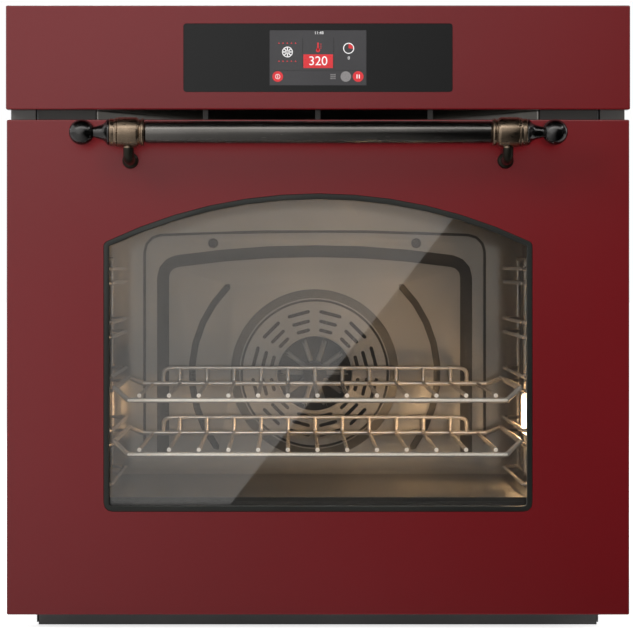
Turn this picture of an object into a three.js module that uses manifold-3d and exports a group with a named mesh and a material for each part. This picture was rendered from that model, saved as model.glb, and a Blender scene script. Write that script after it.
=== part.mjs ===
import * as THREE from 'three';
import { mergeVertices } from 'three/addons/utils/BufferGeometryUtils.js';
import Module from 'manifold-3d';

const wasm = await Module();
wasm.setup();

// A built-in electric oven with a drop-down door. Lengths are in millimetres. +X is to the right, +Y to the
// back and +Z up. Depths are measured from the mounting plane, the front of the kitchen cabinet, and grow
// towards the back. The origin is the centre of the casing's underside.

// Clearances, welds and sheets shared by the pieces
const fit = 0.3; // gap between neighbouring pieces
const weld = 0.8; // how far joined plates run into each other
const wireWeld = 1.6; // how far crossing wires are welded into each other
const overrun = 3; // how far a cut runs past what it cuts
const sheet = 1; // casing sheet
const hem = 12; // turned edge of a casing sheet

// Casing behind the cabinet front
const casingWidth = 548;
const casingHeight = 577;
const casingDepth = 540;
const frameDepth = 18; // front face of the front frame
const frameThickness = 2;
const trimHeight = 12; // dark strip below the door
const trimInset = 5; // how far the strip ends short of the casing's side
const trimRun = 25; // how far the strip runs back

// Door and control panel in front of the cabinet
const frontProud = 22; // how far both stand out of the mounting plane
const shellDepth = 19; // depth of both shells
const shellWall = 2;
const faceThickness = 4;
const faceEdge = 1.2; // rounding of the front edges
const doorLap = 22.65; // how far the door reaches past the casing's side
const doorBottom = 13.3;
const panelGap = 9.7; // air gap between door and control panel
const panelLap = 23.5; // how far the control panel reaches past the casing's side
const panelHeight = 99.2;
const panelRise = 17; // its top edge above the casing

// Arched window and its rim
const windowInset = 17.9; // rim's side edge inside the cavity's side wall
const windowSill = 98.5; // height of the rim's lower edge above the door's
const windowCrown = 70.6; // distance of the arch's top below the door's top edge
const archRadius = 467;
const lowerCorner = 8;
const shoulderCorner = 5;
const rimWidth = 5;
const rimProud = 0.4;
const rimFlange = 8; // lip of the rim behind the door panel
const rimSheet = 1;
const archSteps = 12;
const cornerSteps = 3;
const grooveSteps = 6;
const fanSteps = 20;

// Panes of the door
const paneThickness = 4;
const outerPaneLap = 9; // how far the outer pane reaches past the rim
const innerPaneLap = 16; // how far the inner pane reaches past the cavity's side wall
const innerPaneMargin = 8; // from the shell's lower and upper edge to the inner pane
const paneFace = 14; // depth of the inner pane's back face
const middlePaneDepth = -4;
const middlePaneLap = 3; // how far the middle pane reaches past it
const middlePaneMargin = 56;
const holderWidth = 12;
const holderDepth = 16;
const holderGrip = 4; // how far a holder's slot takes in the middle pane

// Channels inside the door
const channelSheet = 1.5;
const channelDepth = 27; // of the side channels, front to back
const channelWidth = 22;
const channelLip = 6;
const channelStart = 34.7; // above the door's lower edge
const crossProfileHeight = 23;
const doorSlotPitch = 72;

// Hinges
const hingeDepth = 2; // depth of the hinge axis
const hingeRise = 15.2; // height of the hinge axis above the door's lower edge
const hingeInset = 25; // from the casing's side to the middle of the hinge
const pinRadius = 3;
const hookThickness = 4;
const hookHeight = 9;
const hookReach = 98; // how far the hook runs back from its pin
const cheekSheet = 2;
const cheekGap = 6; // between the two cheeks of the arm
const cheekRadius = 7;
const armHeight = 170;
const armDepth = 23;
const receiverWall = 1.5;
const receiverWidth = 14;
const receiverHeight = 40;
const receiverLength = 130;
const receiverBolt = 3.2;
const boltBehindPin = 78;

// Handle
const handleProud = 45; // from the door face to the handle's axis
const handleDrop = 13.5; // handle's axis below the door's top edge
const barRadius = 10;
const barHalf = 163.5;
const collarLength = 33;
const collarRadius = 14;
const collarShares = [[0.86, 0], [0.92, 0.05], [0.81, 0.12], [0.81, 0.17], [1, 0.27], [1, 0.79], [0.86, 0.87],
  [0.82, 0.9], [0.9, 0.93], [0.9, 0.98], [0.8, 1]]; // radius, and place along the collar
const stemPlace = 15.1; // of the stem from the bar's end
const stemRadius = 5.5;
const stemDrop = 25.6; // foot's axis below the handle's axis
const stemBend = 14;
const rosetteRadius = 7.5;
const rosetteThickness = 4;
const rosetteFaceShare = 0.7;
const neckRadius = 4.8;
const flareRadius = 11.3; // of the finial's trumpet at the collar
const flareShares = [[1, 0], [0.98, 0.1], [0.72, 0.26], [0.54, 0.5]]; // radius, and place along the neck
const ballRadius = 11.75;
const ballPlace = 59.5; // ball's centre from the bar's end
const spigotRadius = 6;
const spigotLength = 8;

// Display in the control panel
const displayWidth = 256;
const displayHeight = 64.8;
const displayRise = 49.3; // centre above the panel's lower edge
const displayCorner = 2.5;
const displayInset = 0.3;
const screenWidth = 92;
const screenHeight = 52.4;
const screenInset = 0.3;
const screenBack = 6; // how far the module is wider than its window
const screenBackDepth = 5;
const carrierMargin = 8;
const carrierWall = 2;
const boardThickness = 1.6;
const boardMargin = 14;
const chipHeight = 2.4;
const postRadius = 3;

// Mounting flanges and panel bracket
const flangeWidth = 23.5;
const flangeSheet = 1.2;
const flangeReach = 20; // how far the flange reaches past the casing's side
const flangeBottom = 30;
const flangeRise = 13; // its top above the casing
const flangeHole = 2.6;
const flangeHoleEnds = 60; // from the flange's ends to its screw holes
const bracketRun = 40;

// Vent outlet and air duct
const ventInset = 61; // of the outermost cells from the casing's side
const ventMargin = 6; // of the outlet from the casing's side
const ventHeight = 13;
const ventOpening = 9.4;
const dividerWidth = 5;
const dividerCount = 3;
const ventDepth = 24;
const ductDrop = 5.1; // duct floor's underside below the door's top edge
const ductHeight = 16;
const ductMouthLap = 6; // of the duct's rear end past the blower wheel

// Oven cavity
const cavitySide = 52; // room between cavity and casing at each side
const cavityFloor = 123;
const roofSpace = 28; // room between the cavity's roof and the duct floor
const cavityCorner = 12;
const cavityWall = 1.2;
const rearSpace = 95; // from the rear wall's front face to the casing's back
const rearCorner = 32; // rounding between rear wall and side walls
const rearFoot = 14; // height of the rounding between rear wall and floor
const rearWall = 2.6;
const grooveDepth = 1.3;
const sealWidth = 10;
const sealOffset = 4;
const lipShares = [0.75, 0.25]; // of the seal's width, to the lip's outer and inner edge

// Grooves pressed into the rear wall
const outlineInset = 37; // from the side wall
const outlineDrop = 67.5; // below the roof
const outlineWidth = 3;
const outlineCorner = 20;
const outlineArch = 3400;
const panelGrooveInset = 52;
const panelGrooveDrop = 84;
const panelGrooveWidth = 13;
const panelGrooveCorner = 24;
const panelGrooveArch = 1040;
const grooveFoot = 34; // where the grooves end above the floor
const arcGap = 36.7; // from the fan cover's edge to the middle of the arcs
const arcWidth = 7;
const arcStartDegrees = -37;
const arcEndDegrees = 45;
const plugSpread = 109.5;
const plugDrop = 82; // below the roof
const plugHole = 2.7;

// Convection fan
const fanRise = 106.7; // axis above the floor
const coverLap = 4; // how far the cover reaches past the well
const coverThickness = 1.5;
const coverEye = 40;
const coverRim = 9; // from the bead to the cover's edge
const coverBeadWidth = 3;
const coverBeadHeight = 1;
const sectorCount = 12;
const slotRadiusShares = [0.815, 0.691, 0.577]; // of the bead's radius
const slotLengthShares = [0.309, 0.247, 0.185];
const slotWidth = 4;
const slotEndSteps = 1;
const wellRadius = 86;
const wellFlange = 11;
const wellDepth = 36;
const wellWall = 1.2;
const ringGap = 8; // from the well's wall to the element's axis
const elementRadius = 3.25;
const ringLegDegrees = 22;
const terminalRun = 47; // how far the elements reach behind the rear wall
const impellerGap = 16; // from the ring element's axis to the wheel
const impellerClear = 3; // from the wheel to the well's bottom
const impellerDepth = 22;
const impellerDisc = 1.4;
const impellerHub = 12;
const bladeCount = 10;
const bladeSheet = 1.4;
const bladeInner = 34;
const shaftRadius = 4;
const nutRadius = 8;
const nutLength = 7;
const motorRadius = 34;
const motorLength = 40;
const motorBoss = 12;
const motorBossLength = 5;
const motorFoot = 60;
const motorFootHeight = 24;
const motorFootSheet = 2;

// Heating elements and sensor
const grillDrop = 22; // below the roof
const grillLeg = 34;
const grillInset = 50; // from the side wall
const grillLaneShares = [1, 0.58, 0.2];
const grillFront = 90;
const grillRearGap = 47; // from the rear wall
const grillTurnGap = 115;
const elementBend = 16;
const bottomInset = 44;
const bottomFront = 80;
const bottomRearGap = 45;
const bottomLeg = 60;
const sensorRadius = 2.5;
const sensorInset = 72;
const sensorTipShare = 0.7;
const sensorDrop = 30;
const sensorReach = 53; // in front of the rear wall

// Lamp in the right wall
const lampStart = 150;
const lampLength = 88;
const lampRise = 25; // of its lower edge above the floor
const lampHeight = 66;
const lampProud = 9;
const lampWall = 3;
const lampTaper = 4;
const lampHolderDepth = 34;
const lampHolderInset = 7;
const bulbRadius = 9;
const bulbLength = 26;
const socketShares = [1.4, 1.3]; // of the bulb's radius

// Wire ladders and shelves
const levelPitch = 52.5;
const levelGap = 14; // between the two rods of a level
const levelRise = 101; // of the upper shelf's carrying rod above the floor
const levelsBelow = 1;
const headroom = 99; // kept free above the top level
const ladderRod = 2;
const ladderInset = 22; // rods' axes from the wall
const ladderPostInset = 6;
const ladderFront = 42;
const ladderMiddle = 262;
const ladderRearGap = 59; // from the rear post to the rear wall
const ladderFlare = 16;
const ladderHead = 10; // of the posts above the top rung
const ladderFoot = 2.4; // of the posts below the lowest rung
const pegRadius = 3;
const railRadius = 2.5;
const railInset = 24.7; // shelf rail's axis from the wall
const shelfRod = 2.1;
const shelfFront = 38;
const shelfRearGap = 2; // from the shelf's rear bar to the rear post's axis
const shelfDropFront = 12; // front bar below the rails
const shelfCorner = 14;
const railPlay = 0.5; // of a shelf on the ladders' rods
const shelfRods = 13;
const shelfEndGap = 24.8; // from the rail's axis to the outermost rod
const backBarGap = 36.3; // from the rail's axis to the back bar's end
const backBarRise = 9.6;
const backBarBend = 6;
const rodSides = 4;
const bendSteps = 1;

// Thermal insulation
const woolSide = 44;
const woolTop = 25;
const woolBottom = 22;
const woolBack = 33; // behind the rear wall's front face
const woolGap = 0.6;
const steamRadius = 11;
const steamWall = 1;
const steamRun = 50; // from the tube's axis to the rear end of the air duct

// Cooling blower
const blowerDepth = 340;
const mouthRun = 40; // of the scroll's mouth in front of the wheel's axis
const wheelRadius = 29;
const wheelSide = 175; // from the casing's side to the wheel's end
const wheelBlades = 12;
const wheelBladeShare = 0.22; // blade's radial width over the wheel's radius
const wheelDisc = 1.6;
const wheelShaft = 3;
const wheelShaftRun = 10;
const scrollSheet = 1.4;
const scrollStartGap = 5; // between wheel and scroll where it starts
const scrollEndGap = 21;
const scrollTurn = 1.94; // angle at which the scroll starts, in radians
const bladeLean = 0.16; // angles of a wheel blade, in radians
const bladeTurn = 0.045;
const bladeRootShare = 1.3;
const scrollSteps = 9;
const scrollSide = 4;
const blowerMotorRadius = 27;
const blowerMotorLength = 40;
const blowerFoot = 20;

// Power board and terminal box
const powerBoardSide = 24; // from the casing's side
const powerBoardBack = 230; // its front edge from the casing's back
const powerBoardSize = [110, 140];
const standoff = 8;
const relaySize = [16, 20, 15];
const relayCount = 4;
const relayPitch = 26;
const capPitch = 31.2;
const transformerLength = 39;
const capRadius = 9;
const capHeight = 22;
const terminalSide = 29; // from the casing's side
const terminalBack = 60; // its front wall from the casing's back
const terminalSize = [72, 56, 44];
const terminalWall = 2.5;
const glandRadius = 7;
const ribCount = 4;

// Ventilation slots of the casing
const louvreLength = 60;
const louvreWidth = 6;
const louvrePitch = 14;
const louvreCount = 6;

// Places worked out from the sizes above
const mountY = -casingDepth / 2;
const halfCasing = casingWidth / 2;
const doorWidth = casingWidth + 2 * doorLap;
const panelWidth = casingWidth + 2 * panelLap;
const frameRear = frameDepth + frameThickness;
const frontFace = -frontProud;
const shellRear = frontFace + shellDepth;
const faceRear = frontFace + faceThickness;
const panelTop = casingHeight + panelRise;
const panelBottom = panelTop - panelHeight;
const doorTop = panelBottom - panelGap;
const flangeTop = casingHeight + flangeRise;
const hingeHeight = doorBottom + hingeRise;
const hingeX = halfCasing - hingeInset;
const ductFloorHeight = doorTop - ductDrop;
const ductFloorTop = ductFloorHeight + sheet;
const frameHead = ductFloorTop + hem / 4;
const ventWidth = 2 * (halfCasing - ventInset);
const cavityRoof = ductFloorHeight - roofSpace;
const halfCavity = halfCasing - cavitySide;
const cavityDepth = casingDepth - rearSpace;
const tunnelRear = cavityDepth - rearCorner;
const woolRear = cavityDepth + woolBack;
const terminalDepth = cavityDepth + terminalRun;
const fanHeight = cavityFloor + fanRise;
const coverRadius = wellRadius + coverLap;
const coverBead = coverRadius - coverRim;
const ringRadius = wellRadius - ringGap;
const impellerRadius = ringRadius - impellerGap;
const sensorPlace = sensorInset - halfCavity;
const grillHalf = halfCavity - grillInset;
const bottomHalf = halfCavity - bottomInset;
const levelRoom = cavityRoof - cavityFloor - headroom - levelRise - levelGap;
const levelsAbove = Math.floor(levelRoom / levelPitch);
const ladderRear = cavityDepth - ladderRearGap;
const railX = halfCavity - railInset;
const shelfRear = ladderRear - shelfRearGap;
const shelfPitch = 2 * (railX - shelfEndGap) / (shelfRods - 1);
const backBarHalf = railX - backBarGap;
const windowWidth = 2 * (halfCavity - windowInset);
const innerPaneWidth = 2 * (halfCavity + innerPaneLap);
const middlePaneWidth = 2 * (halfCavity + middlePaneLap);
const innerPaneBottom = doorBottom + innerPaneMargin;
const innerPaneTop = doorTop - innerPaneMargin;
const innerPaneFront = paneFace - paneThickness;
const scrollStart = wheelRadius + scrollStartGap;
const scrollEnd = wheelRadius + scrollEndGap;
const wheelHalf = halfCasing - wheelSide;
const blowerHeight = ductFloorTop + 2 * fit + scrollSheet + scrollEnd;
const ductRear = blowerDepth - mouthRun;
const steamDepth = ductRear - steamRun;
const powerBoardPlace = [powerBoardSide - halfCasing, casingDepth - powerBoardBack];
const terminalPlace = [terminalSide - halfCasing, casingDepth - terminalBack];
const wireFlatShare = Math.cos(Math.PI / rodSides); // a wire's flat against its radius

// Solids

function solidOf(geometry) {
  const bare = geometry.clone();
  bare.deleteAttribute('normal');
  bare.deleteAttribute('uv');
  const merged = mergeVertices(bare);
  const vertProperties = new Float32Array(merged.attributes.position.array);
  const triVerts = new Uint32Array(merged.index.array);
  if (signedVolume(vertProperties, triVerts) < 0) {
    for (let i = 0; i < triVerts.length; i += 3) {
      [triVerts[i], triVerts[i + 1]] = [triVerts[i + 1], triVerts[i]];
    }
  }
  return new wasm.Manifold(new wasm.Mesh({ numProp: 3, vertProperties, triVerts }));
}

function signedVolume(positions, indices) {
  const corners = [new THREE.Vector3(), new THREE.Vector3(), new THREE.Vector3()];
  let volume = 0;
  for (let i = 0; i < indices.length; i += 3) {
    corners.forEach((corner, k) => corner.fromArray(positions, 3 * indices[i + k]));
    volume += corners[0].dot(corners[1].clone().cross(corners[2]));
  }
  return volume;
}

function geometryOf(solid) {
  const mesh = solid.getMesh();
  const geometry = new THREE.BufferGeometry();
  geometry.setAttribute('position', new THREE.BufferAttribute(new Float32Array(mesh.vertProperties), 3));
  geometry.setIndex(new THREE.BufferAttribute(new Uint32Array(mesh.triVerts), 1));
  return geometry;
}

function joined(solids) {
  return solids.reduce((whole, next) => whole.add(next));
}

function cut(solid, tools) {
  return tools.reduce((rest, tool) => rest.subtract(tool), solid);
}

function mirrored(solid) {
  const geometry = geometryOf(solid);
  geometry.scale(-1, 1, 1);
  return solidOf(geometry);
}

// A box between two depths
function box(left, right, front, rear, bottom, top) {
  const geometry = new THREE.BoxGeometry(right - left, rear - front, top - bottom);
  geometry.translate((left + right) / 2, mountY + (front + rear) / 2, (bottom + top) / 2);
  return solidOf(geometry);
}

function shapeOf(outline) {
  return new THREE.Shape(outline.map(([u, v]) => new THREE.Vector2(u, v)));
}

// An outline in X and Z, extruded from a front depth to a rear depth
function alongY(outline, front, rear, holes = []) {
  const options = { depth: rear - front, bevelEnabled: false };
  const geometry = new THREE.ExtrudeGeometry(shapeOf(outline), options);
  geometry.rotateX(Math.PI / 2);
  geometry.translate(0, mountY + rear, 0);
  return cut(solidOf(geometry), holes.map((hole) => alongY(hole, front - overrun, rear + overrun)));
}

// An outline in X and depth, extruded upwards
function alongZ(outline, bottom, top, holes = []) {
  const options = { depth: top - bottom, bevelEnabled: false };
  const geometry = new THREE.ExtrudeGeometry(shapeOf(outline), options);
  geometry.translate(0, mountY, bottom);
  return cut(solidOf(geometry), holes.map((hole) => alongZ(hole, bottom - overrun, top + overrun)));
}

// An outline in depth and Z, extruded from left to right
function alongX(outline, left, right, holes = []) {
  const options = { depth: right - left, bevelEnabled: false };
  const geometry = new THREE.ExtrudeGeometry(shapeOf(outline), options);
  const turn = new THREE.Matrix4().makeBasis(
    new THREE.Vector3(0, 1, 0), new THREE.Vector3(0, 0, 1), new THREE.Vector3(1, 0, 0));
  geometry.applyMatrix4(turn);
  geometry.translate(left, mountY, 0);
  return cut(solidOf(geometry), holes.map((hole) => alongX(hole, left - overrun, right + overrun)));
}

// A plate with softly rounded front edges
function softPlate(outline, front, rear, edge) {
  const options = { depth: edge, bevelEnabled: true, bevelThickness: edge, bevelSize: edge,
    bevelOffset: -edge, bevelSegments: 3 };
  const geometry = new THREE.ExtrudeGeometry(shapeOf(outline), options);
  geometry.rotateX(Math.PI / 2);
  geometry.translate(0, mountY + front + edge + edge, 0);
  return joined([solidOf(geometry), alongY(outline, front + edge, rear)]);
}

// A turned piece: its profile lists radius and place along the axis
function turned(profile, steps) {
  return new THREE.LatheGeometry(profile.map(([r, a]) => new THREE.Vector2(r, a)), steps);
}

function turnedAlongY(profile, steps, x, z) {
  const geometry = turned(profile, steps);
  geometry.translate(x, mountY, z);
  return solidOf(geometry);
}

function turnedAlongX(profile, steps, depth, z) {
  const geometry = turned(profile, steps);
  geometry.rotateZ(-Math.PI / 2);
  geometry.translate(0, mountY + depth, z);
  return solidOf(geometry);
}

function turnedAlongZ(profile, steps, x, depth) {
  const geometry = turned(profile, steps);
  geometry.rotateX(Math.PI / 2);
  geometry.translate(x, mountY + depth, 0);
  return solidOf(geometry);
}

function pinAlongY(radius, front, rear, x, z, steps = 12) {
  return turnedAlongY([[0, front], [radius, front], [radius, rear], [0, rear]], steps, x, z);
}

function pinAlongX(radius, left, right, depth, z, steps = 12) {
  return turnedAlongX([[0, left], [radius, left], [radius, right], [0, right]], steps, depth, z);
}

function pinAlongZ(radius, bottom, top, x, depth, steps = 8) {
  return turnedAlongZ([[0, bottom], [radius, bottom], [radius, top], [0, top]], steps, x, depth);
}

// A route through chosen points, followed corner by corner
class Route extends THREE.Curve {
  constructor(points) {
    super();
    this.points = points;
  }

  getPoint(t, target = new THREE.Vector3()) {
    const place = t * (this.points.length - 1);
    const index = Math.min(Math.floor(place), this.points.length - 2);
    return target.lerpVectors(this.points[index], this.points[index + 1], place - index);
  }

  getPointAt(u, target) {
    return this.getPoint(u, target);
  }

  getTangentAt(u, target = new THREE.Vector3()) {
    const last = this.points.length - 1;
    const index = Math.round(u * last);
    target.set(0, 0, 0);
    if (index > 0) target.add(this.points[index].clone().sub(this.points[index - 1]).normalize());
    if (index < last) target.add(this.points[index + 1].clone().sub(this.points[index]).normalize());
    return target.normalize();
  }
}

// Corners of a route replaced by short bends
function bent(corners, radius, steps) {
  const points = [corners[0]];
  for (let i = 1; i < corners.length - 1; i += 1) {
    const into = corners[i - 1].clone().sub(corners[i]);
    const out = corners[i + 1].clone().sub(corners[i]);
    const halfTurn = (Math.PI - into.angleTo(out)) / 2;
    const run = Math.min(radius * Math.tan(halfTurn), into.length() / 2, out.length() / 2);
    const start = corners[i].clone().addScaledVector(into.normalize(), run);
    const end = corners[i].clone().addScaledVector(out.normalize(), run);
    const curve = new THREE.QuadraticBezierCurve3(start, corners[i], end);
    points.push(...curve.getPoints(steps));
  }
  points.push(corners[corners.length - 1]);
  return points;
}

// A round rod along corners given as X, depth and Z
function rod(corners, radius, bend = 0, sides = rodSides, steps = bendSteps) {
  const places = corners.map(([x, depth, z]) => new THREE.Vector3(x, mountY + depth, z));
  const points = bend > 0 ? bent(places, bend, steps) : places;
  const section = Array.from({ length: sides }, (_, i) => {
    const angle = 2 * Math.PI * (i + 0.5) / sides;
    return [radius * Math.cos(angle), radius * Math.sin(angle)];
  });
  const options = { steps: points.length - 1, extrudePath: new Route(points), bevelEnabled: false };
  return solidOf(new THREE.ExtrudeGeometry(shapeOf(section), options));
}

// Outlines

function arc(x, y, radius, start, end, steps) {
  return Array.from({ length: steps + 1 }, (_, i) => {
    const angle = start + (end - start) * i / steps;
    return [x + radius * Math.cos(angle), y + radius * Math.sin(angle)];
  });
}

function circle(x, y, radius, steps) {
  return arc(x, y, radius, 0, 2 * Math.PI, steps).slice(0, steps);
}

function rectangle(left, right, bottom, top) {
  return [[left, bottom], [right, bottom], [right, top], [left, top]];
}

function roundRectangle(left, right, bottom, top, radius, steps = cornerSteps) {
  const quarter = Math.PI / 2;
  return [
    ...arc(right - radius, bottom + radius, radius, -quarter, 0, steps),
    ...arc(right - radius, top - radius, radius, 0, quarter, steps),
    ...arc(left + radius, top - radius, radius, quarter, 2 * quarter, steps),
    ...arc(left + radius, bottom + radius, radius, 2 * quarter, 3 * quarter, steps),
  ];
}

// Straight sides under an arch, with rounded corners at the sill and at both shoulders
function archOutline(half, bottom, top, radius, lower, shoulder, steps = archSteps) {
  const quarter = Math.PI / 2;
  const centre = top - radius;
  const filletX = half - shoulder;
  const filletZ = centre + Math.sqrt((radius - shoulder) ** 2 - filletX ** 2);
  const angle = Math.atan2(filletZ - centre, filletX);
  return [
    ...arc(half - lower, bottom + lower, lower, -quarter, 0, cornerSteps),
    ...arc(filletX, filletZ, shoulder, 0, angle, cornerSteps),
    ...arc(0, centre, radius, angle, Math.PI - angle, steps).slice(1, -1),
    ...arc(-filletX, filletZ, shoulder, Math.PI - angle, Math.PI, cornerSteps),
    ...arc(-half + lower, bottom + lower, lower, Math.PI, 3 * quarter, cornerSteps),
  ];
}

// A window outline grown by a margin on every side
function windowOutline(margin) {
  return archOutline(windowWidth / 2 + margin, doorBottom + windowSill - margin,
    doorTop - windowCrown + margin, archRadius + margin, lowerCorner + margin, shoulderCorner + margin);
}

// A slot with round ends about a middle point, along the first axis
function slotOutline(u, v, length, width, angle = 0) {
  const reach = (length - width) / 2;
  const points = [
    ...arc(reach, 0, width / 2, -Math.PI / 2, Math.PI / 2, slotEndSteps),
    ...arc(-reach, 0, width / 2, Math.PI / 2, 3 * Math.PI / 2, slotEndSteps),
  ];
  return points.map(([a, b]) => [
    u + a * Math.cos(angle) - b * Math.sin(angle), v + a * Math.sin(angle) + b * Math.cos(angle)]);
}

// Casing

function basePlate() {
  const half = halfCasing - sheet - fit;
  const section = [[-half, 0], [half, 0], [half, hem], [half - sheet, hem], [half - sheet, sheet],
    [sheet - half, sheet], [sheet - half, hem], [-half, hem]];
  const front = frameRear + trimRun + fit;
  const slots = [-1, 1].flatMap((side) => Array.from({ length: louvreCount }, (_, i) => {
    const middle = casingDepth / 2 + (i - (louvreCount - 1) / 2) * louvrePitch;
    return alongZ(slotOutline(side * halfCasing / 2, middle, louvreLength, louvreWidth), -overrun, hem);
  }));
  return cut(alongY(section, front, casingDepth), slots);
}

function bottomTrim() {
  const half = halfCasing - trimInset;
  const rear = frameRear + trimRun;
  const section = [[frameRear, 0], [rear, 0], [rear, sheet], [frameRear + sheet, sheet],
    [frameRear + sheet, trimHeight - sheet], [rear, trimHeight - sheet], [rear, trimHeight],
    [frameRear, trimHeight]];
  return alongX(section, -half, half);
}

function sidePanel() {
  const front = frameRear + fit;
  const section = [[halfCasing, front], [halfCasing, casingDepth], [halfCasing - hem, casingDepth],
    [halfCasing - hem, casingDepth - sheet], [halfCasing - sheet, casingDepth - sheet],
    [halfCasing - sheet, front + sheet], [halfCasing - hem, front + sheet], [halfCasing - hem, front]];
  return alongZ(section, trimHeight + fit, casingHeight - sheet - fit);
}

function topPanel() {
  const lip = halfCasing - sheet - fit;
  const plate = box(-halfCasing, halfCasing, frameRear + fit, casingDepth, casingHeight - sheet,
    casingHeight);
  const lips = [-1, 1].map((side) => {
    const [left, right] = [side * (lip - sheet), side * lip].sort((a, b) => a - b);
    return box(left, right, bracketRun + hem, casingDepth - hem, casingHeight - hem,
      casingHeight - sheet / 2);
  });
  const slots = Array.from({ length: 2 * louvreCount }, (_, i) => {
    const x = (i - louvreCount + 0.5) * louvrePitch;
    const outline = slotOutline(x, blowerDepth, louvreLength, louvreWidth, Math.PI / 2);
    return alongZ(outline, casingHeight - hem, casingHeight + overrun);
  });
  return cut(joined([plate, ...lips]), slots);
}

function backPanel() {
  const half = halfCasing - sheet - fit - sheet - fit;
  const rear = casingDepth - sheet - fit;
  const gland = circle(terminalPlace[0] + terminalSize[0] / 2, ductFloorTop + terminalSize[2] / 2,
    glandRadius, 16);
  const slots = Array.from({ length: louvreCount }, (_, i) => {
    const z = fanHeight + (i - (louvreCount - 1) / 2) * louvrePitch;
    return [-1, 1].map((side) =>
      slotOutline(side * (motorRadius + louvreLength / 2), z, louvreLength, louvreWidth));
  }).flat();
  const outline = rectangle(-half, half, sheet + fit, casingHeight - sheet - fit);
  return alongY(outline, rear - sheet, rear, [gland, ...slots]);
}

function frontFrame() {
  const half = halfCasing - sheet - fit;
  const mouth = roundRectangle(-halfCavity, halfCavity, cavityFloor, cavityRoof, cavityCorner);
  const slot = (side) => rectangle(side * hingeX - hookThickness, side * hingeX + hookThickness,
    hingeHeight - hookHeight, hingeHeight + hookHeight);
  const outline = rectangle(-half, half, trimHeight + fit, frameHead);
  const plate = alongY(outline, frameDepth, frameRear, [mouth, slot(-1), slot(1)]);
  const welded = joined([sideFlange(), hingeReceiver()]);
  return joined([plate, welded, mirrored(welded)]);
}

function sideFlange() {
  const outer = halfCasing + flangeReach;
  const inner = outer - flangeWidth;
  const section = [[inner, -flangeSheet], [outer, -flangeSheet], [outer, 0], [inner + flangeSheet, 0],
    [inner + flangeSheet, frameDepth + weld], [inner, frameDepth + weld]];
  const holeX = outer - (outer - halfCasing) / 2;
  const holes = [flangeBottom + flangeHoleEnds, flangeTop - flangeHoleEnds].map((z) =>
    pinAlongY(flangeHole, -flangeSheet - overrun, overrun, holeX, z, 12));
  return cut(alongZ(section, flangeBottom, flangeTop), holes);
}

function panelBracket() {
  const half = halfCasing - hem - fit;
  const front = shellRear + fit;
  const top = casingHeight - sheet - fit;
  const bottom = panelBottom + hem / 2;
  const section = [[front, bottom], [front + sheet, bottom], [front + sheet, top - sheet],
    [bracketRun, top - sheet], [bracketRun, top], [front, top]];
  const window = box(-displayWidth / 2, displayWidth / 2, front - overrun, front + overrun,
    panelBottom + displayRise - displayHeight / 2, panelBottom + displayRise + displayHeight / 4);
  return cut(alongX(section, -half, half), [window]);
}

// Control panel

function controlPanel() {
  const half = panelWidth / 2;
  const outline = roundRectangle(-half, half, panelBottom, panelTop, faceEdge, 2);
  const room = rectangle(shellWall - half, half - shellWall, panelBottom + shellWall, panelTop - shellWall);
  const z = panelBottom + displayRise;
  const pocket = roundRectangle(-displayWidth / 2 - fit, displayWidth / 2 + fit, z - displayHeight / 2 - fit,
    z + displayHeight / 2 + fit, displayCorner + fit);
  return cut(softPlate(outline, frontFace, shellRear, faceEdge), [
    alongY(room, faceRear, shellRear + overrun), alongY(pocket, frontFace - overrun, shellRear)]);
}

function displayGlass() {
  const z = panelBottom + displayRise;
  const outline = roundRectangle(-displayWidth / 2, displayWidth / 2, z - displayHeight / 2,
    z + displayHeight / 2, displayCorner);
  const window = rectangle(-screenWidth / 2 - fit, screenWidth / 2 + fit, z - screenHeight / 2 - fit,
    z + screenHeight / 2 + fit);
  return alongY(outline, frontFace + displayInset, faceRear, [window]);
}

function touchScreen() {
  const z = panelBottom + displayRise;
  const [halfX, halfZ] = [screenWidth / 2, screenHeight / 2];
  const step = faceRear + fit + carrierWall + fit;
  const front = box(-halfX, halfX, frontFace + displayInset + screenInset, step + weld, z - halfZ, z + halfZ);
  const back = box(-halfX - screenBack, halfX + screenBack, step, step + screenBackDepth,
    z - halfZ - screenBack, z + halfZ + screenBack);
  return front.add(back);
}

function displayCarrier() {
  const z = panelBottom + displayRise;
  const [halfX, halfZ] = [displayWidth / 2 + carrierMargin, displayHeight / 2 + carrierMargin];
  const front = faceRear + fit;
  const rear = shellRear - fit;
  const block = alongY(roundRectangle(-halfX, halfX, z - halfZ, z + halfZ, displayCorner), front, rear);
  const room = box(carrierWall - halfX, halfX - carrierWall, front + carrierWall, rear + overrun,
    z - halfZ + carrierWall, z + halfZ - carrierWall);
  const window = box(-screenWidth / 2 - fit, screenWidth / 2 + fit, front - overrun, rear,
    z - screenHeight / 2 - fit, z + screenHeight / 2 + fit);
  const postX = halfX - boardMargin;
  const postZ = halfZ - boardMargin / 2 - carrierWall;
  const postRear = front + carrierWall + fit + screenBackDepth;
  const posts = [-1, 1].flatMap((side) => [-1, 1].map((rise) =>
    pinAlongY(postRadius, front + carrierWall - weld, postRear, side * postX, z + rise * postZ, 8)));
  return joined([cut(block, [room, window]), ...posts]);
}

function controlBoard() {
  const z = panelBottom + displayRise;
  const halfX = displayWidth / 2 + carrierMargin - carrierWall - fit;
  const halfZ = displayHeight / 2 + carrierMargin - carrierWall - fit;
  const front = faceRear + fit + carrierWall + fit + screenBackDepth + fit;
  const board = box(-halfX, halfX, front, front + boardThickness, z - halfZ, z + halfZ);
  const chips = [-1, 0, 1].map((place) => {
    const x = place * (halfX - boardMargin - boardMargin / 2);
    return box(x - boardMargin / 2, x + boardMargin / 2, front + boardThickness - weld,
      front + boardThickness + chipHeight, z - boardMargin / 2, z + boardMargin / 2);
  });
  return joined([board, ...chips]);
}

// Vent outlet and air duct

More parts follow.
